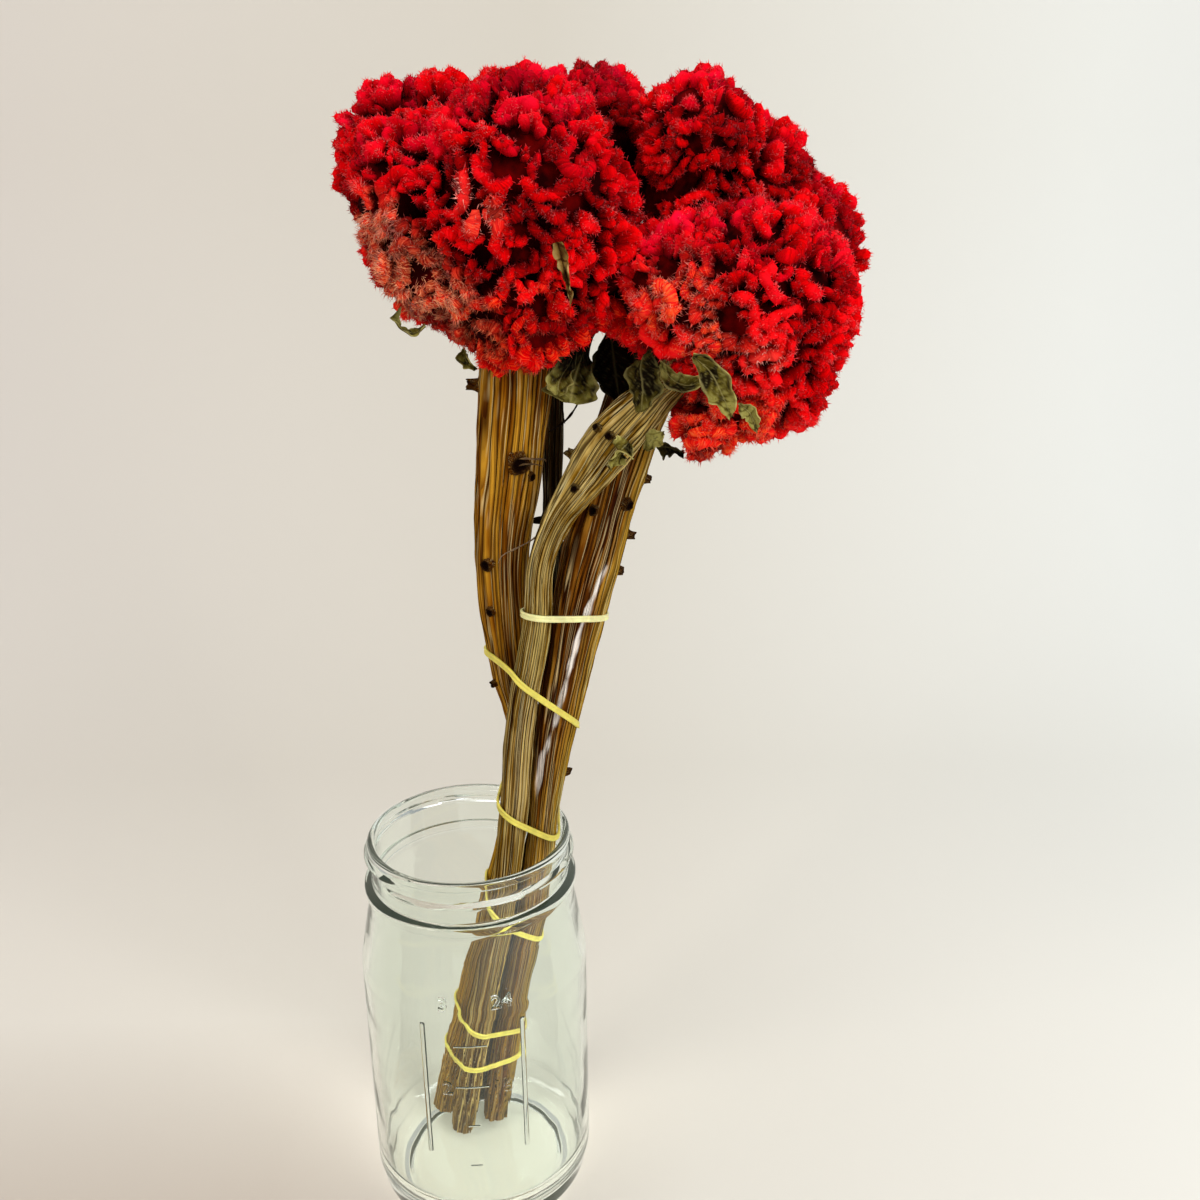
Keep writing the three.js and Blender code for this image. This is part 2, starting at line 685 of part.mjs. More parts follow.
function makeHead(name, seed, rooms) {
  const parts = HEADS[name].map((lobe) => lobeSolid(lobe, (x) => x * CORE_SHARE, 1));
  for (const spot of ruffleSpots(name, RUFFLE.spacing, seed)) parts.push(makeRuffle(spot, RUFFLE));
  let head = wasm.Manifold.union(parts);
  for (const plane of contactPlanes(name)) {
    const keep = plane.out.clone().negate();
    head = head.trimByPlane(keep.toArray(), keep.dot(plane.at) + GAP / 2);
  }
  if (name === DENT.head) {
    for (const lobe of HEADS[DENT.by]) head = head.subtract(lobeSolid(lobe, (x) => x + DENT.room, 1));
  }
  for (const room of rooms) head = head.subtract(room);
  return mainBody(head);
}

// ---------------------------------------------------------------- leaves

function makeLeaf({ rib, side, width, fold, wave, wide }, grow) {
  const line = new THREE.CatmullRomCurve3(rib.map(vec), false, "centripetal");
  const bulge = Math.log(0.5) / Math.log(wide);
  const surface = (u, v) => {
    const across = 2 * v - 1;
    const ahead = line.getTangent(u);
    const spread = vec(side).addScaledVector(ahead, -vec(side).dot(ahead)).normalize();
    const face = new THREE.Vector3().crossVectors(ahead, spread);
    const half = width * (0.14 + 0.86 * Math.sin(Math.PI * (0.03 + 0.94 * u) ** bulge)) + grow;
    const ripple = wave * Math.sin(9 * u + 2 * across) * across * across;
    return line
      .getPoint(u)
      .addScaledVector(ahead, (2 * u - 1) * grow)
      .addScaledVector(spread, across * half * Math.cos(fold))
      .addScaledVector(face, Math.abs(across) * half * Math.sin(fold) + ripple);
  };
  return plate(surface, LEAF.thickness + 2 * grow, LEAF.along, LEAF.across);
}

// ---------------------------------------------------------------- the whole object

const celosia = new THREE.Group();

function addPiece(name, solid, colour, roughness, extra = {}) {
  const material = new THREE.MeshStandardMaterial({ color: colour, roughness, metalness: 0, ...extra });
  const mesh = new THREE.Mesh(geometryOf(solid), material);
  mesh.name = name;
  celosia.add(mesh);
}

addPiece("glass_jar", makeJar(), COLOURS.glass, 0.05, { transparent: true, opacity: 0.35 });

for (const name of Object.keys(STEMS)) addPiece(name, makeStem(name, 0), COLOURS.stem, 0.8);

for (const [name, band] of Object.entries(BANDS)) addPiece(name, makeBand(band), COLOURS.band, 0.5);

for (const [name, leaf] of Object.entries(LEAVES)) addPiece(name, makeLeaf(leaf, 0), COLOURS.leaf, 0.85);

const rooms = [
  ...Object.keys(STEMS).map((name) => makeStem(name, GAP)),
  ...Object.values(LEAVES).map((leaf) => makeLeaf(leaf, 3 * GAP)),
];
Object.keys(HEADS).forEach((name, i) => addPiece(name, makeHead(name, 11 + i, rooms), COLOURS.crest, 0.95));

export default celosia;
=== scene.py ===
"""Dried cockscomb celosia in a clear preserving jar, every piece with its finished look.

Lengths are in millimetres while a shape is modelled; finished() turns each piece to metres.
"""

import json
import math

import bmesh
import bpy
import numpy as np
from mathutils import Matrix, Vector, noise

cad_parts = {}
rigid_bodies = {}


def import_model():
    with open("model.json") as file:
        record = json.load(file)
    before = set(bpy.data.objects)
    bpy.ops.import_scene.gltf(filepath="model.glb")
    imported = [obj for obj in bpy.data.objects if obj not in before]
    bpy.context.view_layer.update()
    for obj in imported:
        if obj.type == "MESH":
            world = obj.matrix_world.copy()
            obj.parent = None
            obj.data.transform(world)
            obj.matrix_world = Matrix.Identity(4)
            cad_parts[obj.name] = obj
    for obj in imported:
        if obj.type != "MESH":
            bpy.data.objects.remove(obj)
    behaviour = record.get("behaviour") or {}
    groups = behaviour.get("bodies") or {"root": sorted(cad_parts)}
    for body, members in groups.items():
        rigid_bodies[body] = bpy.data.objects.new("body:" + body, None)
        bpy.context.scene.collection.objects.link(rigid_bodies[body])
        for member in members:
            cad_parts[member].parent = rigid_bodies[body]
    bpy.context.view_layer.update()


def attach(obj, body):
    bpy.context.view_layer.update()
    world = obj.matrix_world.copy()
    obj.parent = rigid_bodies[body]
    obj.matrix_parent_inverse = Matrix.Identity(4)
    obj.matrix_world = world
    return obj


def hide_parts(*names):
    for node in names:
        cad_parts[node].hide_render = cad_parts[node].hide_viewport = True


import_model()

MM = 0.001
TURN = 2 * math.pi
SEAM = 1e-4  # points closer than this are one point

# ---------------------------------------------------------------- driving dimensions

# The camera: how many degrees it looks down and rolls, and its lens and sensor. It sees as far as 20 m.
CAMERA = {"at": (57.58, -436.77, 429.07), "down": 18.75, "roll": -0.67, "lens": 34.5, "sensor": 36, "far": 20}

# Each light: where it hangs, what it aims at, its two sides, its watts and its colour.
LIGHTS = {
    "window_left": ((-900, -900, 1100), (40, -20, 300), (700, 900), 9.6, (1, 0.97, 0.93)),
    "window_right": ((880, -900, 850), (40, -20, 300), (600, 800), 12, (0.98, 0.98, 1)),
    "ceiling": ((100, 0, 1700), (60, -40, 300), (1600, 1200), 8, (1, 1, 1)),
}
ROOM = {"Color": (0.93, 0.96, 1, 1), "Strength": 0.42}

# The sheet that the jar stands on: it runs back, curves and goes up.
SHEET = {"half_width": 2600, "front": -1400, "back": 900, "curve": 500, "bends": 24, "top": 1900}

JAR = {
    "height": 177,
    "body": 49.5,
    "foot": 41,
    "neck": 42.4,
    "bead": 45.6,
    "mouth": 40,
    "wall": 3,
    "floor": 6,
    "neck_foot": 159,
    "neck_top": 174,
    "steps": 160,
}
# The screw thread: the angle and height where it starts, how far it climbs and how far it stands out.
THREAD = {"from": 218, "height": 165.8, "turns": 1.07, "pitch": 6.3, "half": 1.25, "out": 2.5}
# Raised lines on the glass: length, width, depth, then the angle and height of the middle.
BARS = [
    (2.2, 66, 1.5, 249.6, 82), (2.2, 66, 1.5, 298.4, 82),
    (14, 0.9, 1.1, 272.6, 104.8), (14, 0.9, 1.1, 272.6, 84.4),
    (5, 0.8, 1.0, 272.6, 64.5), (5, 0.8, 1.0, 272.6, 43.5),
]
# Raised measure figures: the digits, their size, angle and height, and how all of them are cut.
FIGURES = [("3", 9, 260.5, 125), ("24", 9, 288.5, 125), ("2", 9, 260.7, 83.6), ("16", 9, 287.3, 83.2)]
DIGITS = {"raised": 0.55, "bold": 0.12, "curve_steps": 3}

# Each stem: the way its wide side faces, then stations x, y, z, half width, half depth.
STEMS = {
    "stem_left": (4, [
        (-22.4, 25.8, 9, 6.2, 5.4), (-7, 18, 75, 6.2, 5.6), (12.5, 8.5, 150, 6, 5.7),
        (23.4, 4.6, 197, 5.9, 5.8), (25.6, -2, 224, 6.4, 5.8), (22.4, -12.5, 258, 8.4, 6),
        (21.2, -24, 306, 10.2, 6.6), (25.4, -30.5, 341, 11.8, 7.4), (29.6, -36.5, 375, 12.8, 8.4),
        (32, -42, 402, 14, 9.5),
    ]),
    "stem_right": (8, [
        (3, 20.5, 8.2, 6.3, 6), (14, 12, 75, 6.2, 6.2), (28, -1.5, 150, 6.2, 6.5),
        (33.9, -9, 197, 6.3, 6.7), (39.6, -15, 234, 8, 6.8), (45.8, -20, 265, 9.6, 7),
        (53.6, -26.5, 303, 11, 7.2), (61.5, -30.5, 333, 11, 7.6), (70, -29, 360, 11.5, 8),
        (82, -25, 388, 13, 8.5), (98, -22, 420, 15, 9),
    ]),
    "stem_front": (-8, [
        (-12, 12.5, 8.2, 5.4, 5.2), (0.5, 3.5, 75, 5.6, 5.6), (14.9, -6.8, 150, 5.7, 5.8),
        (21, -12.9, 197, 5.8, 6.2), (25.9, -22, 240, 5.6, 5.2), (34, -33, 283, 5.2, 4.6),
        (36.8, -38.5, 309.4, 4.6, 4.4), (42.8, -42, 325.5, 5, 4.5), (52.5, -46, 340.4, 7.2, 4.8),
        (62, -50.3, 354.5, 9, 5), (73.3, -53.5, 367, 7.6, 5), (80.6, -53.5, 373.5, 6.2, 5),
        (89, -53, 382, 7.4, 6), (99, -52, 393, 8, 7),
    ]),
    "stem_back": (20, [
        (-7, 33, 8.2, 4.6, 4.4), (5, 27.5, 75, 4.6, 4.6), (25, 15, 150, 4.7, 4.7),
        (34.9, 8.6, 197, 4.5, 4.8), (38.2, 1, 240, 4, 4.4), (39.2, -7.5, 290, 3.7, 3.9),
        (40.2, -13.5, 335, 3.6, 3.5), (41.6, -15, 381, 3.8, 4.2), (41, -14, 430, 8, 7),
    ]),
}
SKIN_POWER = 2.4  # how boxy a stem's section is
# Each stem's grid, columns round it and rows along it, its number of ribs, and its seed.
BARK = {
    "stem_left": (132, 190, 19, 1), "stem_right": (132, 190, 19, 2), "stem_front": (108, 200, 15, 3),
    "stem_back": (72, 120, 11, 4),
}
# How far a stem's skin swells, in and out of its mean outline.
SWELL = {"broad": 0.8, "fine": 0.5, "mean": 0.72, "rough": 0.25, "lump": 0.5, "peel": 0.55, "knot": 0.4}
# A knot from its foot to the middle of its hollow: its radius, its height, how far it is lifted off the skin
# and how dark it is.
KNOT = {
    "along": (0, 0.3, 0.5, 0.62, 0.75, 1), "reach": (1.25, 0.95, 0.85, 0.74, 0.6, 0),
    "height": (0, 0.6, 1, 0.95, 0.6, 0.5), "lift": (-0.8, 0.5, 0.5, 0.5, 0.5, 0.5),
    "old": (0.1, 0.55, 0.75, 0.9, 1, 1),
}

# Scars of old side shoots: stem, share of its length, angle, length, radius.
STUBS = [
    ("stem_left", 0.796, -76, 1.8, 3.4), ("stem_left", 0.874, 178, 3.6, 1.8),
    ("stem_left", 0.668, -122, 1, 2.2), ("stem_left", 0.542, 214, 1.6, 1.3),
    ("stem_left", 0.622, -122, 0.8, 1.6), ("stem_left", 0.78, -52, 0.8, 1.3),
    ("stem_right", 0.694, -58, 1.2, 1.8), ("stem_right", 0.68, -118, 1, 1.6),
    ("stem_right", 0.726, 2, 2.2, 1.5), ("stem_right", 0.65, -4, 2.2, 1.4),
    ("stem_right", 0.6, 0, 2, 1.5), ("stem_right", 0.335, 4, 2, 1.5),
    ("stem_front", 0.606, -102, 1, 1.3), ("stem_front", 0.706, -106, 1, 1.3),
    ("stem_front", 0.702, -138, 0.8, 1.2), ("stem_front", 0.64, 174, 2.2, 1.5),
    ("stem_back", 0.7, 160, 3, 1.2),
]

# Thin dry shoots and loose fibres on the left stem: points, radius, how dark and how bare they are.
SHOOTS = [
    ([(39.5, -21.5, 352.7), (42.9, -27, 355.6), (46.6, -29, 358.7), (49.2, -31, 362.2), (51.1, -36, 366.2)],
     0.45, 0.95, 0),
    ([(45.8, -27.5, 356.6), (45.1, -25, 359.9), (44.8, -24, 363.3), (45.7, -27, 366.6)], 0.35, 0.95, 0),
    ([(38, -32, 320.1), (36.4, -33.5, 318.6), (32.8, -33.5, 315.4), (26.9, -33.6, 312.3),
      (22.1, -33.4, 309.7), (20, -32, 306)], 0.3, 0, 0.2),
    ([(27, -37.5, 344.9), (30.1, -40.5, 347.1), (34.6, -39.5, 346.6), (38.6, -34, 345.2), (38.9, -32, 343.9)],
     0.4, 0.2, 0.08),
    ([(27.7, -37.5, 342.8), (31.1, -40.5, 344.9), (34.9, -39.5, 344.8), (38.2, -34.5, 342.8)],
     0.3, 0.5, 0.05),
]

BAND = {"width": 2.5, "thickness": 1.2, "groove": 0.35, "over_bark": 0.55, "steps": 72, "round": 20}
# Each band: the stems it holds, its height, how much it tilts, and the angle where it is highest.
BANDS = {
    "band_pair": (("stem_right", "stem_front"), 285, 3, 200),
    "band_upper": (tuple(STEMS), 249, 17, 190),
    "band_rim": (tuple(STEMS), 190, 11, 165),
    "band_neck": (tuple(STEMS), 136, 14, 175),
    "band_low": (tuple(STEMS), 73, 6, 170),
    "band_lowest": (tuple(STEMS), 51, 1.5, 170),
}

# The lobes of each head: centre and half size.
HEADS = {
    "head_left": [
        ((34, -50, 431), (33.5, 30, 38)), ((-4.5, -42, 433), (17.5, 23, 24)),
        ((9.5, -47, 413.5), (21.5, 23, 20.5)), ((32, -52, 399), (21, 21, 18.5)),
        ((54, -42, 414), (18, 22, 22)),
    ],
    "head_back": [
        ((-2.5, -10, 445.5), (28.5, 24, 26)), ((29, -8, 449), (31, 25, 23.5)),
        ((58.5, -10, 451), (19.5, 23, 24)),
    ],
    "head_right": [
        ((91.5, -33, 452), (19.5, 20, 18)), ((87, -24, 434), (18, 21, 20)),
        ((112.5, -18, 435.5), (20.5, 22, 21.5)), ((128.5, -18, 414), (21, 22, 23)),
    ],
    "head_front": [
        ((107.5, -53, 400), (33.5, 30, 32)), ((107, -46, 371), (21, 22, 15)),
        ((122, -45, 377), (15, 18, 15.5)), ((79, -49, 404), (17, 21, 18)),
        ((93.5, -57, 359.5), (8.5, 10, 9.5)),
    ],
}
BLEND = 12  # how wide the hollows between a head's lobes are rounded out
# Where two heads press together: the heads, a point between them, and the way from the first to the second.
CONTACTS = [
    ("head_left", "head_front", (67, -50, 410), (1, 0, -0.25)),
    ("head_left", "head_right", (74, -40, 440), (1, 0.3, 0.1)),
    ("head_left", "head_back", (20, -29, 440), (-0.05, 1, 0.15)),
    ("head_back", "head_right", (79, -20, 445), (1, -0.3, 0)),
    ("head_back", "head_front", (72, -30, 420), (1, -0.4, -0.4)),
]
DENT = ("head_right", "head_front", 2.5)  # the first is dented by the second: the room it leaves
# The way each head faces; its ruffles cup towards it.
FACES = {
    "head_left": (-0.1, -0.85, 0.5),
    "head_back": (-0.1, 0.3, 1),
    "head_right": (0.2, -0.5, 0.85),
    "head_front": (0.1, -1, 0.15),
}
PAINTED_LIGHT = {"head_left": 1, "head_back": 1, "head_right": 1.03, "head_front": 1.1}  # painted light: the front and right heads are painted brighter, as if lit more strongly
FIRST_SEED = 31  # of the first head; the next ones follow
CORE = {"share": 0.85, "rise": 0.3}  # the core's size against the lobes', and how light it is: dark as painted shade
# A ruffle: the gap to the next, its radius at root and rim, half its thickness, how deep it is rooted, how far
# it stands out, half its arc in radians, how far it leans and how much the crest's lumps lift it.
RUFFLE = {
    "spacing": 7.9, "root": 1.8, "rim": 4.3, "half_wall": 2.8, "depth": 9, "reach": 0.8, "half_arc": (0.7, 2.0),
    "lean": 2.6, "lumps": 3.6, "columns": 12, "rows": 7,
}
GOLDEN_ANGLE = math.pi * (3 - math.sqrt(5))
# A ruffle's outline from the top of its rim down to its root: how thick it is, how far the rounding of the
# rim has dropped and how far down the wall this is.
PROFILE = {
    "down": (0, 0.25, 0.5, 0.75, 1), "thick": (0, 0.72, 1, 0.72, 0), "rounding": (0, 0.3, 1, 1, 1),
    "wall": (0, 0, 0, 0.4, 1),
}
# Ruffles come in three sizes: the gap to the next against the spacing, the smallest, the largest and how
# deep they sit.
RUFFLE_SIZES = [(0.66, 0.75, 1.3, 0), (0.49, 0.5, 0.85, 0.8), (0.38, 0.5, 0.7, 1.4)]
# The fringe: the least and the most hairs on a ruffle, and a hair's length, radius and number of sides.
FUZZ = {"least": 70, "most": 127, "length": 1.5, "radius": 0.17, "sides": 3}

# Faded and warm places on the heads: centre, radius, then how orange, how tan and how pale they are.
PATCHES = [
    ((-4, -64, 404), 17, 0.6, 1, 0.3), ((-12, -62, 422), 12, 0.3, 0.8, 0.4),
    ((8, -70, 399), 12, 0.5, 1, 0.3), ((15, -69, 392), 12, 0.9, 0.5, 0),
    ((33, -68, 383), 24, 0.8, 0, 0), ((60, -62, 392), 14, 0.6, 0, 0),
    ((80, -75, 403), 14, 0.8, 0.12, 0.3), ((89, -80, 391), 12, 0.85, 0.15, 0.35),
    ((98, -62, 360), 20, 0.8, 0.1, 0.1), ((108, -83, 383), 6.5, 0.2, 0.3, 1),
    ((17, -79, 434), 6, 0.1, 0, 0.8), ((124, -46, 365), 10, 0.3, 0, 0.6),
    ((24, -81, 427), 6, 0.3, 0.2, 0.6),
]

LEAF = {"along": 40, "across": 22, "thickness": 0.4}
# Each leaf: points along its rib, the way its blade spreads, half width, fold, wave, where it is widest
# and how brown it has gone at its root and at its tip, its near black partly painted shade. A bract is tan
# instead, marked by brown below 0.
LEAVES = {
    "leaf_hanging": ([(56.6, -34, 391), (53.1, -40, 383.4), (49.7, -45.5, 374.4), (48.2, -47.5, 367.3)],
                     (1, -0.1, -0.35), 10, 0.25, 1.6, 0.78, (1, 0.3)),
    "leaf_shaded": ([(62.1, -37, 390.9), (63.3, -38.5, 380.4), (65, -41.5, 367)],
                    (1, 0, 0.1), 8.5, -0.2, 1, 0.6, (1, 1)),
    "leaf_drooping": ([(51.8, -45, 388.4), (48.7, -49, 381), (45.1, -52, 375.4), (44.2, -53.5, 370.8)],
                      (0.9, 0.2, 0.5), 5, 0.5, 1.2, 0.7, (1, 0.2)),
    "leaf_veined": ([(74.2, -56, 385.3), (71.7, -61, 381.1), (72.2, -64, 373.8), (71.6, -63.5, 366.7)],
                    (0.8, -0.3, 0.6), 7, -0.35, 1, 0.5, (0.8, 0.45)),
    "leaf_arched": ([(78, -64, 382.1), (81.6, -69, 377.6), (86.7, -73, 376.3), (92.9, -76.5, 380.3)],
                    (0.3, 0.3, 1), 3.6, 0.7, 0.8, 0.45, (0.5, 0)),
    "leaf_right": ([(87.2, -76.5, 385.9), (92.5, -80, 381.2), (96.4, -79, 373.9), (99.7, -74.5, 366.5)],
                   (0.9, -0.2, 0.4), 4.7, 0.4, 0.9, 0.5, (0.3, 0)),
    "leaf_small": ([(102, -75.5, 371.4), (105.6, -74.5, 368), (108.4, -70, 362)],
                   (0.9, -0.3, 0.4), 2.8, 0.4, 0.5, 0.5, (0.3, 0)),
    "leaf_torn": ([(67.8, -59, 355.9), (64.4, -60.2, 352.8), (61.4, -60, 347.3)],
                  (0.7, 0.3, 0.7), 4.6, 0.25, 1.1, 0.35, (0, 0.1)),
    "leaf_ragged": ([(73.2, -58.5, 353.2), (75.9, -59, 356.8), (79.4, -59.5, 358.8)],
                    (0.6, -0.2, -0.8), 3.2, 0.3, 0.8, 0.5, (0.5, 0.3)),
    "leaf_dark": ([(77.3, -49, 352.6), (81.3, -49.5, 352.3), (86.9, -48, 349.9)],
                  (0.2, -0.5, 0.8), 3.4, 0.6, 0.7, 0.45, (0.8, 1)),
    "leaf_tail": ([(2.4, -56, 393.5), (-1.5, -57.5, 391.2), (-5.5, -58, 393), (-8.5, -57, 397)],
                  (0.1, -0.9, -0.4), 1.9, 0.5, 0.3, 0.3, (0.1, 0.6)),
    "leaf_bract": ([(46.4, -81.5, 420.2), (48.3, -80.5, 412.5), (49.9, -74.5, 404)],
                   (1, -0.1, 0), 2.4, 0.6, 0.6, 0.15, (-1, -1)),
    "leaf_under": ([(13.2, -46.5, 385.6), (14.3, -50, 382), (17.4, -51.5, 379.4)],
                   (0.8, -0.2, 0.6), 2.6, 0.8, 0.5, 0.5, (0.3, 0.2)),
}

# Each stem's bark: the name of its finish, then its dark, middle and light colours.
BARK_COLOURS = {
    "stem_left": ("bark_golden", (0.05, 0.007, 0.0008), (0.25, 0.078, 0.0015), (0.53, 0.25, 0.02)),
    "stem_right": ("bark_brown", (0.03, 0.005, 0.001), (0.17, 0.05, 0.002), (0.46, 0.22, 0.025)),
    "stem_front": ("bark_khaki", (0.04, 0.012, 0.001), (0.27, 0.13, 0.008), (0.74, 0.53, 0.17)),
    # The back stem stands behind the others in shade: its near-black bark is painted shade.
    "stem_back": ("bark_painted_shade", (0.006, 0.002, 0.001), (0.025, 0.01, 0.003), (0.08, 0.04, 0.01)),
}
# The bark of the right stem has split and shows a pale strip: its middle line.
PEEL = [
    (60.6, -34, 304.7), (53.8, -31, 289), (48.7, -28, 273.6), (44, -25, 255.5), (39.3, -22, 238),
    (34.4, -19, 222.2), (27.8, -16, 198.5), (19, -12, 176.6), (14.7, -9, 157.8),
]


# ---------------------------------------------------------------- shape tools

def unit(way):
    way = np.asarray(way, float)
    return way / np.linalg.norm(way, axis=-1, keepdims=True)


def square_to(way, vector):
    """The part of a vector that lies square to a way, made one long."""
    return unit(vector - (vector * way).sum(-1, keepdims=True) * way)


def eased(x):
    """0 below 0, 1 above 1 and smooth between."""
    x = np.clip(x, 0, 1)
    return x * x * (3 - 2 * x)


class Line:
    """A smooth line through stations. Columns past the third, such as widths, run along with it."""

    def __init__(self, stations):
        rows = np.array(stations, float)
        self.rows = np.vstack([2 * rows[0] - rows[1], rows, 2 * rows[-1] - rows[-2]])
        self.steps = np.sqrt(np.linalg.norm(np.diff(self.rows[:, :3], axis=0), axis=1))
        self.spans = len(rows) - 1

    def at(self, share, slope=False):
        place = np.clip(np.asarray(share, float), 0, 1) * self.spans
        k = np.minimum(place.astype(int), self.spans - 1)
        w = (place - k)[..., None]
        a, b, c, d = (self.rows[k + i] for i in range(4))
        ab, bc, cd = (self.steps[k + i][..., None] for i in range(3))
        leave = ((b - a) / ab - (c - a) / (ab + bc) + (c - b) / bc) * bc
        arrive = ((c - b) / bc - (d - b) / (bc + cd) + (d - c) / cd) * bc
        cubic = 2 * (b - c) + leave + arrive
        square = 3 * (c - b) - 2 * leave - arrive
        if slope:
            return (3 * cubic * w + 2 * square) * w + leave
        return ((cubic * w + square) * w + leave) * w + b

    def share_at(self, height):
        shares = np.linspace(0, 1, 400)
        return np.interp(height, self.at(shares)[:, 2], shares)


def wander(points, scale, seed):
    """Smooth noise from -1 to 1 at each point; scale is the size of its lumps."""
    shift = Vector((seed * 17.3, seed * -9.1, seed * 5.7))
    return np.array([noise.noise(Vector(p) / scale + shift) for p in points])


def mesh_of(bm, name):
    mesh = bpy.data.meshes.new(name)
    bm.to_mesh(mesh)
    bm.free()
    return mesh


def closed(bm, name, seam=SEAM):
    """The mesh with the points of its seams merged and its faces turned outwards."""
    bmesh.ops.remove_doubles(bm, verts=bm.verts, dist=seam)
    bmesh.ops.recalc_face_normals(bm, faces=bm.faces)
    return mesh_of(bm, name)


def bent_grid(columns, rows, place, name):
    """A flat grid bent into shape. place(u, v) takes the shares across and along it and gives the points
    and a dictionary of what its finish reads."""
    bm = bmesh.new()
    bm.loops.layers.uv.new(name)
    bmesh.ops.create_grid(bm, x_segments=columns, y_segments=rows, size=1, calc_uvs=True)
    flat = np.array([v.co for v in bm.verts])[:, :2]
    share = (flat - flat.min(0)) / np.ptp(flat, axis=0)
    points, marks = place(share[:, 0], share[:, 1])
    for vert, point in zip(bm.verts, points):
        vert.co = point
    for mark, values in marks.items():
        layer = bm.verts.layers.float.new(mark)
        for vert, value in zip(bm.verts, values):
            vert[layer] = value
    return bm


def wrapped(columns, rows, place, name):
    """A bent grid whose seams meet: they are merged and its open ends are closed."""
    bm = bent_grid(columns, rows, place, "wrap")
    bmesh.ops.remove_doubles(bm, verts=bm.verts, dist=SEAM)
    bmesh.ops.holes_fill(bm, edges=[e for e in bm.edges if e.is_boundary], sides=0)
    bmesh.ops.recalc_face_normals(bm, faces=bm.faces)
    return mesh_of(bm, name)


def blade(columns, rows, thickness, place, name):
    """A bent grid with a second face behind it."""
    bm = bent_grid(columns, rows, place, "blade")
    bmesh.ops.recalc_face_normals(bm, faces=bm.faces)
    bmesh.ops.solidify(bm, geom=bm.faces[:], thickness=thickness)
    bmesh.ops.recalc_face_normals(bm, faces=bm.faces)
    return mesh_of(bm, name)


def changed(mesh, kind, **settings):
    """The mesh with one modifier applied."""
    holder = bpy.data.objects.new("holder", mesh)
    bpy.context.scene.collection.objects.link(holder)
    step = holder.modifiers.new("step", kind)
    for key, value in settings.items():
        setattr(step, key, value)
    ready = holder.evaluated_get(bpy.context.evaluated_depsgraph_get())
    made = bpy.data.meshes.new_from_object(ready)
    bpy.data.objects.remove(holder)
    return made


def copies(mesh, count):
    """One mesh that holds a small template count times, all in one place."""
    return changed(mesh, "ARRAY", count=count, use_relative_offset=False)


def points_of(mesh):
    points = np.empty(len(mesh.vertices) * 3)
    mesh.vertices.foreach_get("co", points)
    return points.reshape(-1, 3)


def move_points(mesh, points):
    mesh.vertices.foreach_set("co", np.asarray(points, np.float32).ravel())
    mesh.update()


def mark_points(mesh, **marks):
    for name, values in marks.items():
        layer = mesh.attributes.new(name, "FLOAT", "POINT")
        layer.data.foreach_set("value", np.asarray(values, np.float32).ravel())


def joined(name, meshes):
    bm = bmesh.new()
    for mesh in meshes:
        bm.from_mesh(mesh)
    return mesh_of(bm, name)


def finished(mesh, name, material, nodes=(), sharp=None):
    """Makes a modelled mesh into a piece of the object: metres, smooth shading, finish and CAD nodes."""
    mesh.transform(Matrix.Scale(MM, 4))
    mesh.name = name
    mesh.shade_smooth()
    if sharp:
        mesh.set_sharp_from_angle(angle=math.radians(sharp))
    mesh.materials.clear()
    mesh.materials.append(material)
    piece = bpy.data.objects.new(name, mesh)
    bpy.context.scene.collection.objects.link(piece)
    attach(piece, "root")
    if nodes:
        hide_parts(*nodes)
    return piece


# ---------------------------------------------------------------- finishes

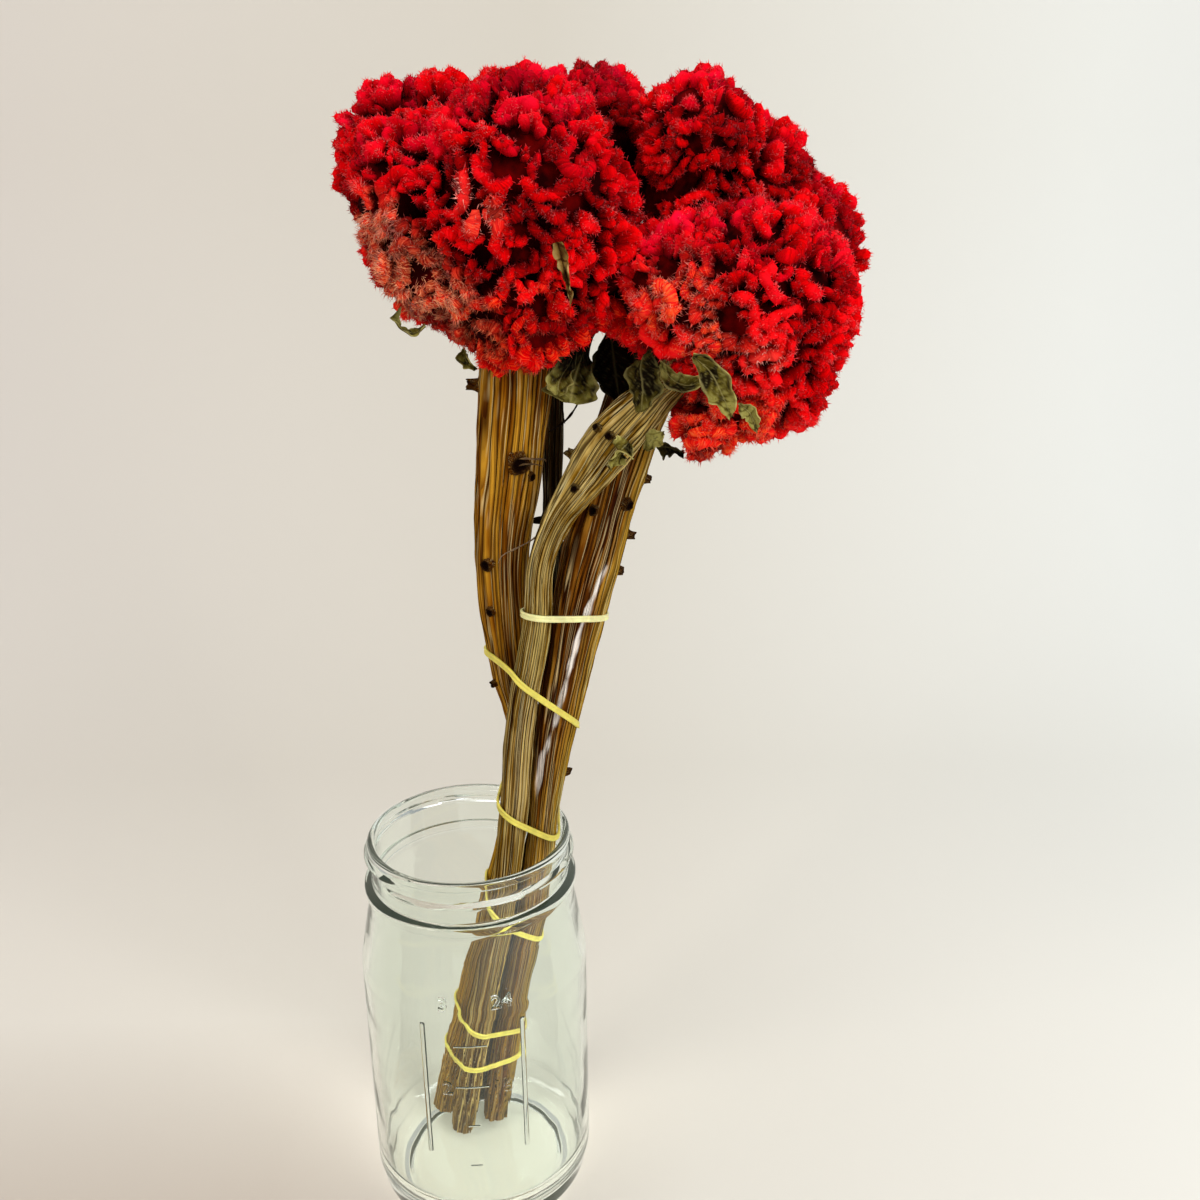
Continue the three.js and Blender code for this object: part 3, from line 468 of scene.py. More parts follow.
class Finish:
    """A material, its nodes added and joined by short calls."""

    def __init__(self, name, **values):
        self.material = bpy.data.materials.new(name)
        self.material.use_nodes = True
        self.tree = self.material.node_tree
        self.shader = self.tree.nodes["Principled BSDF"]
        self.set(self.shader, values)

    def set(self, node, values):
        for key, value in values.items():
            socket = node.inputs[key.replace("_", " ") if isinstance(key, str) else key]
            if isinstance(value, bpy.types.NodeSocket):
                self.tree.links.new(value, socket)
            else:
                socket.default_value = value

    def node(self, kind, values=None, **settings):
        made = self.tree.nodes.new("ShaderNode" + kind)
        for key, value in settings.items():
            setattr(made, key, value)
        self.set(made, values or {})
        return made

    def mark(self, name):
        return self.node("Attribute", attribute_name=name).outputs["Fac"]

    def place(self, scale=(1, 1, 1), source="Object"):
        spot = self.node("TexCoord").outputs[source]
        return self.node("Mapping", {"Vector": spot, "Scale": scale}).outputs["Vector"]

    def noise(self, vector, scale, detail=3.0, rough=0.6, distort=0.0):
        values = {"Vector": vector, "Scale": scale, "Detail": detail}
        values |= {"Roughness": rough, "Distortion": distort}
        return self.node("TexNoise", values).outputs["Fac"]

    def ribs(self, count, drift):
        """Lines along a piece, count of them round it, that drift sideways. It gives how far off its line's
        middle a point is, and each line's own noise."""
        spot = self.node("SeparateXYZ", {0: self.place((1, 1, 1), "UV")}).outputs
        sway = self.times(self.noise(self.place((4, 2.2, 1), "UV"), 1, 2.0), drift)
        uneven = self.times(self.noise(self.place((17, 2.5, 1), "UV"), 1, 1.0), count / 16)
        place = self.plus(self.times(spot["X"], count), self.plus(sway, uneven))
        across = self.math("SUBTRACT", self.times(self.math("FRACT", place), 2.0), 1.0)
        line = self.times(self.math("FLOOR", place), 7.3)
        spot = self.node("CombineXYZ", {0: line, 1: self.times(spot["Y"], 5.0)}).outputs[0]
        return self.math("ABSOLUTE", across), self.noise(spot, 1.0, 2.0)

    def math(self, operation, a, b=0.0, clamp=False):
        return self.node("Math", {0: a, 1: b}, operation=operation, use_clamp=clamp).outputs[0]

    def times(self, a, b, clamp=False):
        return self.math("MULTIPLY", a, b, clamp)

    def plus(self, a, b):
        return self.math("ADD", a, b)

    def stretch(self, value, low, high, to_low=0.0, to_high=1.0):
        values = {"Value": value, "From Min": low, "From Max": high, "To Min": to_low, "To Max": to_high}
        return self.node("MapRange", values).outputs["Result"]

    def ramp(self, value, *stops):
        """stops are (place, colour) from low to high."""
        ramp = self.node("ValToRGB", {"Fac": value})
        spots = ramp.color_ramp.elements
        while len(spots) < len(stops):
            spots.new(0.5)
        for spot, (place, colour) in zip(spots, stops):
            spot.position = place
            spot.color = (*colour, 1)
        return ramp.outputs["Color"]

    def mix(self, share, a, b, blend="MIX"):
        made = self.node("Mix", data_type="RGBA", blend_type=blend)
        for socket, value in ((0, share), (6, a), (7, b)):
            if isinstance(value, tuple):
                value = (*value, 1)
            self.set(made, {socket: value})
        return made.outputs[2]

    def bump(self, height, distance, strength=1.0, under=None):
        values = {"Height": height, "Distance": distance, "Strength": strength}
        if under is not None:
            values["Normal"] = under
        normal = self.node("Bump", values).outputs["Normal"]
        self.set(self.shader, {"Normal": normal})
        return normal


def glass_finish():
    """Clear pressed glass, faintly green and a little uneven. It glows faintly green, painted light that lifts
    its dark lines.
    """
    finish = Finish(
        "jar_glass", Base_Color=(0.93, 0.975, 0.94, 1), Roughness=0.0, IOR=1.47, Transmission_Weight=1.0,
        # Painted light: a faint green glow, though the glass is no lamp.
        Emission_Color=(0.7, 0.9, 0.6, 1), Emission_Strength=0.008
    )
    ripple = finish.noise(finish.place(), 38, 1.0)
    finish.bump(ripple, 0.0012, 0.35)
    return finish.material


def crest_finish():
    """Velvet: deep crimson on the faces, black down in the folds and darker on deep ruffles as painted shade,
    magenta where it faces up as painted skylight, with streaks of orange and tan where it has faded and pale
    tips on the fringe."""
    magenta = (0.8, 0.0015, 0.036)
    rosy_tip, orange_tip, straw_tip, pale_tip = (1, 0.3, 0.3), (1, 0.42, 0.16), (1, 0.56, 0.26), (1, 0.5, 0.4)
    finish = Finish(
        "crest_velvet", Roughness=0.95, Specular_IOR_Level=0.03,
        Sheen_Weight=0.03, Sheen_Roughness=0.4, Sheen_Tint=(1.0, 0.1, 0.25, 1)
    )
    rise, tip = finish.mark("rise"), finish.mark("tip")
    blotch = finish.noise(finish.place(), 90, 3.0)
    across = finish.times(finish.mark("strand"), 2.2)
    spot = finish.node("CombineXYZ", {0: across, 1: finish.times(rise, 7.0)}).outputs[0]
    pile = finish.noise(spot, 1.0, 3.0, 0.7, 0.4)
    # Painted shade: the rise mark darkens the velvet down in the folds and on deep ruffles; noise adds random
    # tone.
    wear_and_shade = finish.plus(rise, finish.stretch(blotch, 0.3, 0.7, -0.09, 0.09))
    wear_and_shade = finish.plus(wear_and_shade, finish.stretch(pile, 0.3, 0.7, -0.16, 0.14))
    crimson = finish.ramp(
        wear_and_shade, (0.0, (0.003, 0.0, 0.0)), (0.3, (0.014, 0.0, 0.0)), (0.6, (0.34, 0.0, 0.0004)),
        (0.85, (0.78, 0.0, 0.001)), (1.0, (0.9, 0.005, 0.008)),
    )
    # Painted skylight: faces that look up turn magenta.
    painted_skylight = finish.times(finish.mark("painted_skylight"), finish.stretch(blotch, 0.4, 0.62, 0.0, 0.75))
    colour = finish.mix(finish.times(painted_skylight, wear_and_shade), crimson, magenta)
    faded = finish.times(finish.mark("warm"), finish.stretch(wear_and_shade, 0.5, 1.0), clamp=True)
    spread = finish.stretch(finish.plus(finish.stretch(pile, 0.4, 0.6), faded), 0.75, 1.25)
    orange = finish.ramp(
        pile, (0.35, (0.85, 0.018, 0.002)), (0.55, (1.0, 0.1, 0.01)), (0.72, (1.0, 0.26, 0.06))
    )
    colour = finish.mix(finish.times(faded, spread, clamp=True), colour, orange)
    dry = finish.times(finish.mark("dry"), finish.stretch(wear_and_shade, 0.2, 0.6), clamp=True)
    straw = finish.ramp(
        pile, (0.36, (0.1, 0.002, 0.001)), (0.46, (0.62, 0.05, 0.014)), (0.54, (0.92, 0.25, 0.08)),
        (0.66, (1.0, 0.55, 0.27)),
    )
    colour = finish.mix(dry, colour, straw)
    fringe = finish.mix(finish.mark("warm"), rosy_tip, orange_tip)
    fringe = finish.mix(finish.mark("dry"), fringe, straw_tip)
    colour = finish.mix(tip, colour, fringe)
    colour = finish.mix(finish.mark("pale"), colour, pale_tip)
    finish.set(finish.shader, {"Base Color": colour})
    finish.bump(pile, 0.0006, 0.8)
    return finish.material


def stem_finish(name, dark, middle, light):
    """Dried ribbed bark: fine ribs along it, each its own shade, dark in the grooves with pale threads, and
    painted darker where the skin lies low between the ribs, painted shade. It has gone black where it is old,
    is painted paler on the lit side as painted light, is paler in the jar and high on the front stem, and is
    bare wood where it has peeled."""
    rotten, pale_wash = (0.008, 0.002, 0.001), (0.5, 0.62, 0.5)
    finish = Finish(name, Specular_IOR_Level=0.02)
    ridge, peel, old, lit_and_paled = (finish.mark(x) for x in ("ridge", "peel", "old", "lit_and_paled"))
    broad, shade = finish.ribs(38, 5.0)
    fine, thread = finish.ribs(103, 14.0)
    fibre = finish.noise(finish.place((260, 12, 1), "UV"), 1, 3.0, 0.7)
    blotch = finish.noise(finish.place((6, 7, 1), "UV"), 1, 3.0, 0.6)
    # Painted shade: the ridge mark makes the bark darker where the skin lies low between the ribs.
    tone = finish.plus(finish.times(shade, 0.75), finish.times(ridge, 0.2))
    tone = finish.plus(tone, finish.stretch(blotch, 0.3, 0.7, -0.12, 0.12))
    tone = finish.plus(tone, finish.times(lit_and_paled, 0.13))
    bark = finish.ramp(tone, (0.3, dark), (0.46, middle), (0.64, light))
    groove = finish.stretch(broad, 0.5, 0.95)
    bark = finish.mix(finish.times(groove, 0.85), bark, tuple(0.5 * x for x in dark))
    seam = finish.times(finish.stretch(fine, 0.35, 0.9), finish.stretch(thread, 0.6, 0.35))
    bark = finish.mix(finish.times(seam, 0.9), bark, dark)
    pale = finish.times(finish.stretch(fine, 0.7, 0.3), finish.stretch(thread, 0.52, 0.6))
    cream = tuple(x + share * (1 - x) for x, share in zip(light, (0.35, 0.33, 0.2)))
    bark = finish.mix(finish.times(pale, 0.75), bark, cream)
    bark = finish.mix(old, bark, rotten)
    wood = finish.ramp(fibre, (0.3, (0.5, 0.3, 0.2)), (0.45, (0.9, 0.78, 0.66)), (0.58, (1.0, 0.97, 0.92)))
    # Painted light: the right stem's lit right side is washed paler; so are the stems in the jar and high on
    # the front stem.
    bark = finish.mix(finish.times(lit_and_paled, 0.4, clamp=True), bark, pale_wash, "SOFT_LIGHT")
    bark = finish.mix(peel, bark, wood)
    finish.set(finish.shader, {"Base Color": bark, "Roughness": finish.stretch(tone, 0.3, 0.7, 0.8, 0.5)})
    under = finish.bump(groove, -0.0006, 0.9)
    under = finish.bump(finish.math("SUBTRACT", pale, seam), 0.0003, 0.8, under)
    finish.bump(fibre, 0.00015, 0.6, under)
    return finish.material


def rubber_finish(name, colour):
    """Satin rubber, darker where it is worn."""
    dirty = tuple(x * 0.72 for x in colour)
    finish = Finish(name, Roughness=0.42, Subsurface_Weight=0.12, Subsurface_Scale=0.002)
    wear_and_shade = finish.stretch(finish.noise(finish.place(), 220, 3.0), 0.35, 0.7)
    finish.set(finish.shader, {"Base Color": finish.mix(wear_and_shade, colour, dirty)})
    finish.bump(finish.noise(finish.place(), 2500, 2.0), 0.00008, 0.5)
    return finish.material


def leaf_finish():
    """Dead leaf: near black brown going to olive, with pale veins and edges; bracts are tan. The near black is
    partly painted shade, and the blade is painted darker beside its creases.
    """
    spots, pale_vein = (0.03, 0.012, 0.004), (0.55, 0.47, 0.17)
    finish = Finish("dry_leaf", Roughness=0.85, Specular_IOR_Level=0.03)
    vein, age_and_shade, tan = finish.mark("vein"), finish.mark("age_and_shade"), finish.mark("tan")
    blotch = finish.plus(finish.noise(finish.place(), 85, 2.0, 0.55), finish.mark("light"))
    speck = finish.noise(finish.place(), 1400, 2.0)
    young = finish.ramp(
        blotch, (0.34, (0.01, 0.006, 0.001)), (0.45, (0.13, 0.1, 0.012)), (0.6, (0.4, 0.36, 0.09))
    )
    # Near black brown, partly painted shade on leaves that lie in shade.
    brown = finish.ramp(
        blotch, (0.36, (0.002, 0.001, 0.0005)), (0.56, (0.008, 0.003, 0.0015)), (0.74, (0.05, 0.03, 0.007))
    )
    colour = finish.mix(age_and_shade, young, brown)
    colour = finish.mix(finish.stretch(speck, 0.6, 0.72, 0, 0.6), colour, spots)
    colour = finish.mix(finish.times(vein, 0.5), colour, pale_vein)
    bract = finish.ramp(
        blotch, (0.34, (0.06, 0.02, 0.004)), (0.46, (0.2, 0.11, 0.025)), (0.6, (0.42, 0.3, 0.11))
    )
    finish.set(finish.shader, {"Base Color": finish.mix(tan, colour, bract)})
    under = finish.bump(vein, 0.0005, 0.7)
    finish.bump(finish.noise(finish.place(), 330, 4.0, 0.65), 0.0011, 1.0, under)
    return finish.material


def sheet_finish():
    """A pale sheet with painted light and shade: warm on the left, darkest behind the jar, pale and cool on the
    right, with a painted shadow in the near left corner.
    """
    painted_shadow = (0.5, 0.43, 0.36)
    finish = Finish("pale_sheet", Roughness=0.9, Specular_IOR_Level=0.1)
    spot = finish.node("SeparateXYZ", {0: finish.place()}).outputs
    # Painted light and shade across the sheet, from left to right.
    colour = finish.ramp(
        finish.stretch(spot["X"], -0.9, 1.1), (0.0, (0.78, 0.72, 0.67)), (0.2, (0.74, 0.69, 0.62)),
        (0.45, (0.68, 0.64, 0.56)), (0.75, (0.84, 0.84, 0.79)), (1.0, (0.88, 0.885, 0.86)),
    )
    # Painted shadow: the near left corner is darkened.
    near, left = finish.stretch(spot["Y"], 0.1, -0.06), finish.stretch(spot["X"], 0.1, -0.1)
    finish.set(finish.shader, {"Base Color": finish.mix(finish.times(near, left), colour, painted_shadow)})
    return finish.material


# ---------------------------------------------------------------- camera, light and floor

def make_camera():
    data = bpy.data.cameras.new("camera")
    data.lens, data.sensor_width, data.clip_end = (CAMERA[key] for key in ("lens", "sensor", "far"))
    camera = bpy.data.objects.new("camera", data)
    tilt = Matrix.Rotation(math.radians(90 - CAMERA["down"]), 4, "X")
    roll = Matrix.Rotation(math.radians(CAMERA["roll"]), 4, "Z")
    camera.matrix_world = Matrix.Translation(Vector(CAMERA["at"]) * MM) @ tilt @ roll
    bpy.context.scene.collection.objects.link(camera)
    bpy.context.scene.camera = camera


def make_light(name, at, aim, size, power, colour):
    data = bpy.data.lights.new(name, "AREA")
    data.shape = "RECTANGLE"
    data.size, data.size_y = size[0] * MM, size[1] * MM
    data.energy = power
    data.color = colour
    light = bpy.data.objects.new(name, data)
    way = (Vector(aim) - Vector(at)).to_track_quat("-Z", "Y")
    light.matrix_world = Matrix.Translation(Vector(at) * MM) @ way.to_matrix().to_4x4()
    bpy.context.scene.collection.objects.link(light)


def make_stage():
    bm = bmesh.new()
    ends = [bm.verts.new((side * SHEET["half_width"], SHEET["front"], 0)) for side in (-1, 1)]
    edge = [bm.edges.new(ends)]
    path = [(SHEET["back"] - SHEET["curve"], 0)]
    for i in range(1, SHEET["bends"] + 1):
        a = i / SHEET["bends"] * math.pi / 2
        path.append((path[0][0] + SHEET["curve"] * math.sin(a), SHEET["curve"] * (1 - math.cos(a))))
    path.append((SHEET["back"], SHEET["top"]))
    for y, z in path:
        made = bmesh.ops.extrude_edge_only(bm, edges=edge)["geom"]
        for vert in (part for part in made if isinstance(part, bmesh.types.BMVert)):
            vert.co.y, vert.co.z = y, z
        edge = [part for part in made if isinstance(part, bmesh.types.BMEdge)]
    mesh = mesh_of(bm, "pale_sheet")
    mesh.transform(Matrix.Scale(MM, 4))
    mesh.shade_smooth()
    mesh.materials.append(sheet_finish())
    floor = bpy.data.objects.new("pale_sheet", mesh)
    bpy.context.scene.collection.objects.link(floor)


def light_scene():
    world = bpy.data.worlds.new("room")
    world.use_nodes = True
    for key, value in ROOM.items():
        world.node_tree.nodes["Background"].inputs[key].default_value = value
    bpy.context.scene.world = world
    bpy.context.scene.view_settings.view_transform = "Standard"
    for name, settings in LIGHTS.items():
        make_light(name, *settings)


# ---------------------------------------------------------------- jar

def rounded(corners, steps=5):
    """An outline of x, z, radius corners, each corner turned into an arc."""
    outline = []
    for i, (x, z, radius) in enumerate(corners):
        if not radius:
            outline.append((x, z))
            continue
        corner = Vector((x, z))
        before = (Vector(corners[i - 1][:2]) - corner).normalized()
        after = (Vector(corners[i + 1][:2]) - corner).normalized()
        half = before.angle(after) / 2
        run = radius / math.tan(half)
        centre = corner + (before + after).normalized() * radius / math.sin(half)
        start, end = corner + before * run - centre, corner + after * run - centre
        sweep = start.angle_signed(end)
        for k in range(steps + 1):
            outline.append(tuple(centre + Matrix.Rotation(-sweep * k / steps, 2) @ start))
    return outline


def thread_rise(points):
    """How far the screw thread stands out at each point of the neck."""
    angle = np.degrees(np.arctan2(points[:, 1], points[:, 0]))
    past = (angle - THREAD["from"]) % 360
    rise = np.zeros(len(points))
    for lap in (0, 360):
        climb = (past + lap) / 360
        middle = THREAD["height"] + climb * THREAD["pitch"]
        ends = eased(climb * 14) * eased((THREAD["turns"] - climb) * 14)
        rise += ends * np.exp(-(((points[:, 2] - middle) / THREAD["half"]) ** 4))
    return rise * THREAD["out"]


def make_glass():
    """The jar as one closed wall, spun round its axis, with the screw thread drawn out of its neck."""
    body, neck, mouth, bead, foot = (JAR[key] for key in ("body", "neck", "mouth", "bead", "foot"))
    top, inner, floor = JAR["height"], JAR["body"] - JAR["wall"], JAR["floor"]
    base = [(0, 1.6, 0), (foot - 6, 1.6, 3), (foot - 3, 0, 1.5), (foot + 1, 0, 3)]
    side = [(body - 2.2, 5, 8), (body, 16, 12), (body, 120, 30), (body - 4, 142, 14), (neck + 0.6, 153, 2.5)]
    ring = [(bead, 154.3, 1.3), (bead, 157.4, 1.2), (neck, 158.6, 0.8)]
    rows = [(neck, JAR["neck_foot"] + 0.7 * i, 0) for i in range(21)]
    lip = [(neck + 0.9, JAR["neck_top"], 0.5), (neck + 0.9, top, 1.4), (mouth, top, 1.4)]
    inside = [(mouth, 153, 8), (inner - 4, 140, 12), (inner, 117, 28), (inner, 22, 14), (inner - 4, 10, 8)]
    well = [(inner - 18, floor, 14), (0, floor + 0.6, 0)]
    bm = bmesh.new()
    outline = rounded(base + side + ring + rows + lip + inside + well)
    verts = [bm.verts.new((x, 0, z)) for x, z in outline]
    edges = [bm.edges.new(pair) for pair in zip(verts, verts[1:])]
    bmesh.ops.spin(
        bm, geom=verts + edges, cent=(0, 0, 0), axis=(0, 0, 1), dvec=(0, 0, 0), angle=TURN,
        steps=JAR["steps"], use_merge=True, use_duplicate=False,
    )
    mesh = closed(bm, "glass", seam=0.005)
    points = points_of(mesh)
    reach = np.hypot(points[:, 0], points[:, 1])
    on_neck = (reach > neck - 0.3) & (points[:, 2] > JAR["neck_foot"]) & (points[:, 2] < JAR["neck_top"])
    grow = np.where(on_neck, thread_rise(points), 0)
    points[:, :2] *= (1 + grow / np.maximum(reach, 1))[:, None]
    move_points(mesh, points)
    return mesh


def round_the_jar(mesh, angle, height):
    """Bends a flat shape that lies in x and y round the jar's body."""
    points = points_of(mesh)
    radius = JAR["body"] + points[:, 2]
    turn = math.radians(angle) + points[:, 0] / JAR["body"]
    move_points(mesh, np.stack([radius * np.cos(turn), radius * np.sin(turn), height + points[:, 1]], 1))
    return mesh


def bar(length, width, depth, angle, height):
    """A raised line on the glass: a long rounded bar, half sunk in the wall. One that runs round the jar is
    cut into short lengths, so that it can bend."""
    bm = bmesh.new()
    bmesh.ops.create_cube(bm, size=1)
    bmesh.ops.scale(bm, verts=bm.verts, vec=(length, width, depth))
    bmesh.ops.bevel(
        bm, geom=bm.edges[:], affect="EDGES", offset=0.42 * min(width, depth), segments=3, profile=0.5,
        material=-1,
    )
    if length > width:
        cuts = [e for e in bm.edges if abs(e.verts[0].co.x - e.verts[1].co.x) > length / 2]
        bmesh.ops.subdivide_edges(bm, edges=cuts, cuts=max(1, int(length / 1.5)))
    return round_the_jar(mesh_of(bm, "bar"), angle, height)


def number(text, size, angle, height):
    """Raised digits on the glass."""
    curve = bpy.data.curves.new("digits", "FONT")
    curve.body = text
    curve.size = size
    curve.extrude, curve.offset, curve.resolution_u = DIGITS["raised"], DIGITS["bold"], DIGITS["curve_steps"]
    curve.align_x = curve.align_y = "CENTER"
    holder = bpy.data.objects.new("digits", curve)
    bpy.context.scene.collection.objects.link(holder)
    ready = holder.evaluated_get(bpy.context.evaluated_depsgraph_get())
    mesh = bpy.data.meshes.new_from_object(ready)
    bpy.data.objects.remove(holder)
    bm = bmesh.new()
    bm.from_mesh(mesh)
    bmesh.ops.remove_doubles(bm, verts=bm.verts, dist=1e-3)
    return round_the_jar(mesh_of(bm, "digits"), angle, height)


def make_jar(glass):
    """The jar and what is raised on it, as one body."""
    group = bpy.data.collections.new("raised")
    for mesh in [bar(*settings) for settings in BARS] + [number(*settings) for settings in FIGURES]:
        group.objects.link(bpy.data.objects.new("raised", mesh))
    bpy.context.scene.collection.children.link(group)
    union = {"operation": "UNION", "operand_type": "COLLECTION", "collection": group, "solver": "EXACT"}
    whole = changed(make_glass(), "BOOLEAN", **union)
    for shape in list(group.objects):
        bpy.data.objects.remove(shape)
    bpy.data.collections.remove(group)
    jar = finished(whole, "jar", glass, ["glass_jar"], sharp=38)
    jar.visible_shadow = False  # clear glass lets the light through to the stems and the floor


# ---------------------------------------------------------------- stems

STEM_LINES = {name: Line(stations) for name, (_, stations) in STEMS.items()}


def skin(name, share, angle, extra):
    """Points on a stem's skin, grown outwards by extra."""
    station = STEM_LINES[name].at(share)
    tangent = unit(STEM_LINES[name].at(share, slope=True)[..., :3])
    facing = math.radians(STEMS[name][0])
    across = square_to(tangent, np.array([math.cos(facing), math.sin(facing), 0]))
    deep = np.cross(tangent, across)
    c, s = np.cos(angle), np.sin(angle)
    boxy = 1 / (np.abs(c) ** SKIN_POWER + np.abs(s) ** SKIN_POWER) ** (1 / SKIN_POWER)
    wide_way = (c * boxy * (station[..., 3] + extra))[..., None] * across
    deep_way = (s * boxy * (station[..., 4] + extra))[..., None] * deep
    return station[..., :3] + wide_way + deep_way


def ribbing(angle, share, count, seed):
    """Rounded ribs with narrow grooves between them, 0 in a groove and up to 1 on a rib."""
    bend = 0.5 * np.sin(2 * angle + seed) + 0.33 * np.sin(3 * angle - 2 * seed + 5 * share)
    bend += 0.9 * np.sin(5 * share + seed) + 0.3 * np.sin(13 * share + 3 * seed)
    place = count * angle / TURN + bend
    cell = np.floor(place)
    across = 2 * (place - cell) - 1
    swell = 0.72 + 0.28 * np.sin((cell % count) * 2.4 + 7 * share + seed)
    return (1 - np.abs(across) ** 3.2) * swell


def distance_to_path(points, path):
    """The distance of each point from a smooth path, and the path's share there."""
    shares = np.linspace(0, 1, 220)
    line = Line(path).at(shares)
    gaps = np.linalg.norm(points[:, None, :] - line[None, :, :], axis=2)
    nearest = gaps.argmin(1)
    return gaps[np.arange(len(points)), nearest], shares[nearest]


def peeled(base):
    """How bare of bark the right stem is at each point: the split is wider further down."""
    away, part = distance_to_path(base, PEEL)
    half = 1.5 + 0.9 * eased((part - 0.55) * 4) + 2.4 * eased((part - 0.78) * 5)
    half = half + 0.8 * wander(base * (1, 1, 0.3), 3, 9)
    return eased((half - away) / 0.7)


def lit_and_paled_at(name, angle, base, share):
    """How much paler the bark is painted: the right stem on its lit right side, painted light, the front stem
    in its upper half, and all of them in the jar."""
    lit_and_paled = np.full(len(share), 0.3)
    if name == "stem_right":
        lit_and_paled = 2.4 * eased((np.cos(angle) - 0.1) / 0.8) - 0.4
    if name == "stem_front":
        lit_and_paled = 0.3 - 1.5 * eased((278 - base[:, 2]) / 40)
    return lit_and_paled + 1.2 * eased((0.42 - share) * 8)


def make_stem(name, material):
    """A ribbed stem with its knots; the left one has thin shoots too."""
    columns, rows, ribs, seed = BARK[name]

    def place(u, v):
        angle = u * TURN
        broad = ribbing(angle, v, ribs, seed)
        fine = ribbing(angle, v, 2 * ribs + 3, seed + 1.7)
        base = skin(name, v, angle, 0)
        rough = wander(base * (1, 1, 0.22), 2.2, seed)
        lump = wander(base * (1, 1, 0.35), 9, seed + 4)
        ridge = 0.62 * broad + 0.38 * fine
        extra = SWELL["broad"] * (broad - SWELL["mean"]) + SWELL["fine"] * (fine - SWELL["mean"])
        extra = extra + SWELL["rough"] * rough + SWELL["lump"] * lump
        peel = peeled(base) if name == "stem_right" else np.zeros(len(u))
        extra -= SWELL["peel"] * peel
        old = eased((0.06 - v) * 12) * 0.4
        for owner, share, degrees, length, radius in STUBS:
            if owner != name:
                continue
            centre = skin(name, np.array([share]), np.array([math.radians(degrees)]), 0)[0]
            away = np.linalg.norm(base - centre, axis=1)
            extra = extra + SWELL["knot"] * length * np.exp(-((away / (1.25 * radius)) ** 2))
            old = np.maximum(old, 0.5 * eased(1.6 - away / radius))
        marks = {"ridge": np.clip(ridge + 0.25 * rough, 0, 1), "peel": peel, "old": old}
        marks["lit_and_paled"] = lit_and_paled_at(name, angle, base, v)
        return skin(name, v, angle, extra), marks

    parts = [wrapped(columns, rows, place, name)]
    parts += [make_knot(*stub) for stub in STUBS if stub[0] == name]
    parts += [make_shoot(*shoot) for shoot in SHOOTS if name == "stem_left"]
    finished(joined(name, parts), name + "_bark", material, [name], sharp=70)


def make_shoot(points, radius, old, peel):
    """A thin round shoot or fibre along points, its ends drawn to a point."""
    line = Line(points)

    def place(u, v):
        turn = u * TURN
        ahead = unit(line.at(v, slope=True))
        aside = unit(np.cross(ahead, (0, 0, 1)))
        above = np.cross(aside, ahead)
        reach = radius * np.sqrt(np.sin(math.pi * v)) * (1 + 0.2 * np.sin(23 * v))
        side = (reach * np.cos(turn))[:, None] * aside + (reach * np.sin(turn))[:, None] * above
        marks = {"old": old, "peel": peel, "ridge": 0.5, "lit_and_paled": 0.5}
        return line.at(v) + side, {mark: np.full(len(u), value) for mark, value in marks.items()}

    return wrapped(7, 24, place, "shoot")


def make_knot(name, share, degrees, length, radius):
    """The broken end of an old side shoot: a ragged ring of bark round a dark hollow."""
    share, angle = np.array([share]), np.array([math.radians(degrees)])
    centre = skin(name, share, angle, 0)[0]
    out = unit(skin(name, share, angle, 1)[0] - centre)
    ahead = square_to(out, unit(STEM_LINES[name].at(share, slope=True)[0, :3]))
    beside = np.cross(out, ahead)

    def place(u, v):
        turn = u * TURN
        rows = ("reach", "height", "lift", "old")
        reach, height, lift, old = (np.interp(v, KNOT["along"], KNOT[row]) for row in rows)
        ring = np.stack([np.cos(turn), np.sin(turn)], 1)
        rough = wander(np.column_stack([1.3 * ring, 2 * v]), 1, radius + degrees) * np.minimum(1, 4 * (1 - v))
        reach = radius * reach * (1 + 0.32 * rough)
        height = length * height + lift + 0.4 * length * rough * eased(v * 3)
        side = (reach * ring[:, 0])[:, None] * beside + (1.2 * reach * ring[:, 1])[:, None] * ahead
        marks = {"old": old, "peel": np.zeros(len(u)), "ridge": np.full(len(u), 0.3), "lit_and_paled": np.zeros(len(u))}
        return centre + side + height[:, None] * out, marks

    return wrapped(18, 9, place, "knot")


# ---------------------------------------------------------------- rubber bands

def band_loop(names, height, tilt, high, steps):
    """The tight loop of a band's middle line round its stems."""
    angles = np.arange(steps) / steps * TURN
    ways = np.stack([np.cos(angles), np.sin(angles)], 1)
    lean = math.radians(high)
    flat = band_loop(names, height, 0, high, steps)[:, :2] if tilt else None
    slopes = flat @ (math.cos(lean), math.sin(lean)) if tilt else np.zeros(steps)
    slopes = 2 * (slopes - slopes.min()) / max(np.ptp(slopes), 1) - 1
    loop = []
    for slope, way in zip(slopes, ways):
        z = height + tilt * slope
        rounds, middles = [], []
        for name in names:
            line = STEM_LINES[name]
            share = np.full(40, line.share_at(z))
            rounds.append(skin(name, share, np.linspace(0, TURN, 40), BAND["over_bark"])[:, :2])
            middles.append(line.at(share[:1])[0, :2])
        centre = np.mean(middles, 0)
        reach = (np.vstack(rounds) - centre) @ ways.T
        slant = ways @ way
        ahead = slant > 0.05
        out = (reach.max(0)[ahead] / slant[ahead]).min() + BAND["thickness"] / 2
        loop.append((*(centre + out * way), z))
    return np.array(loop)


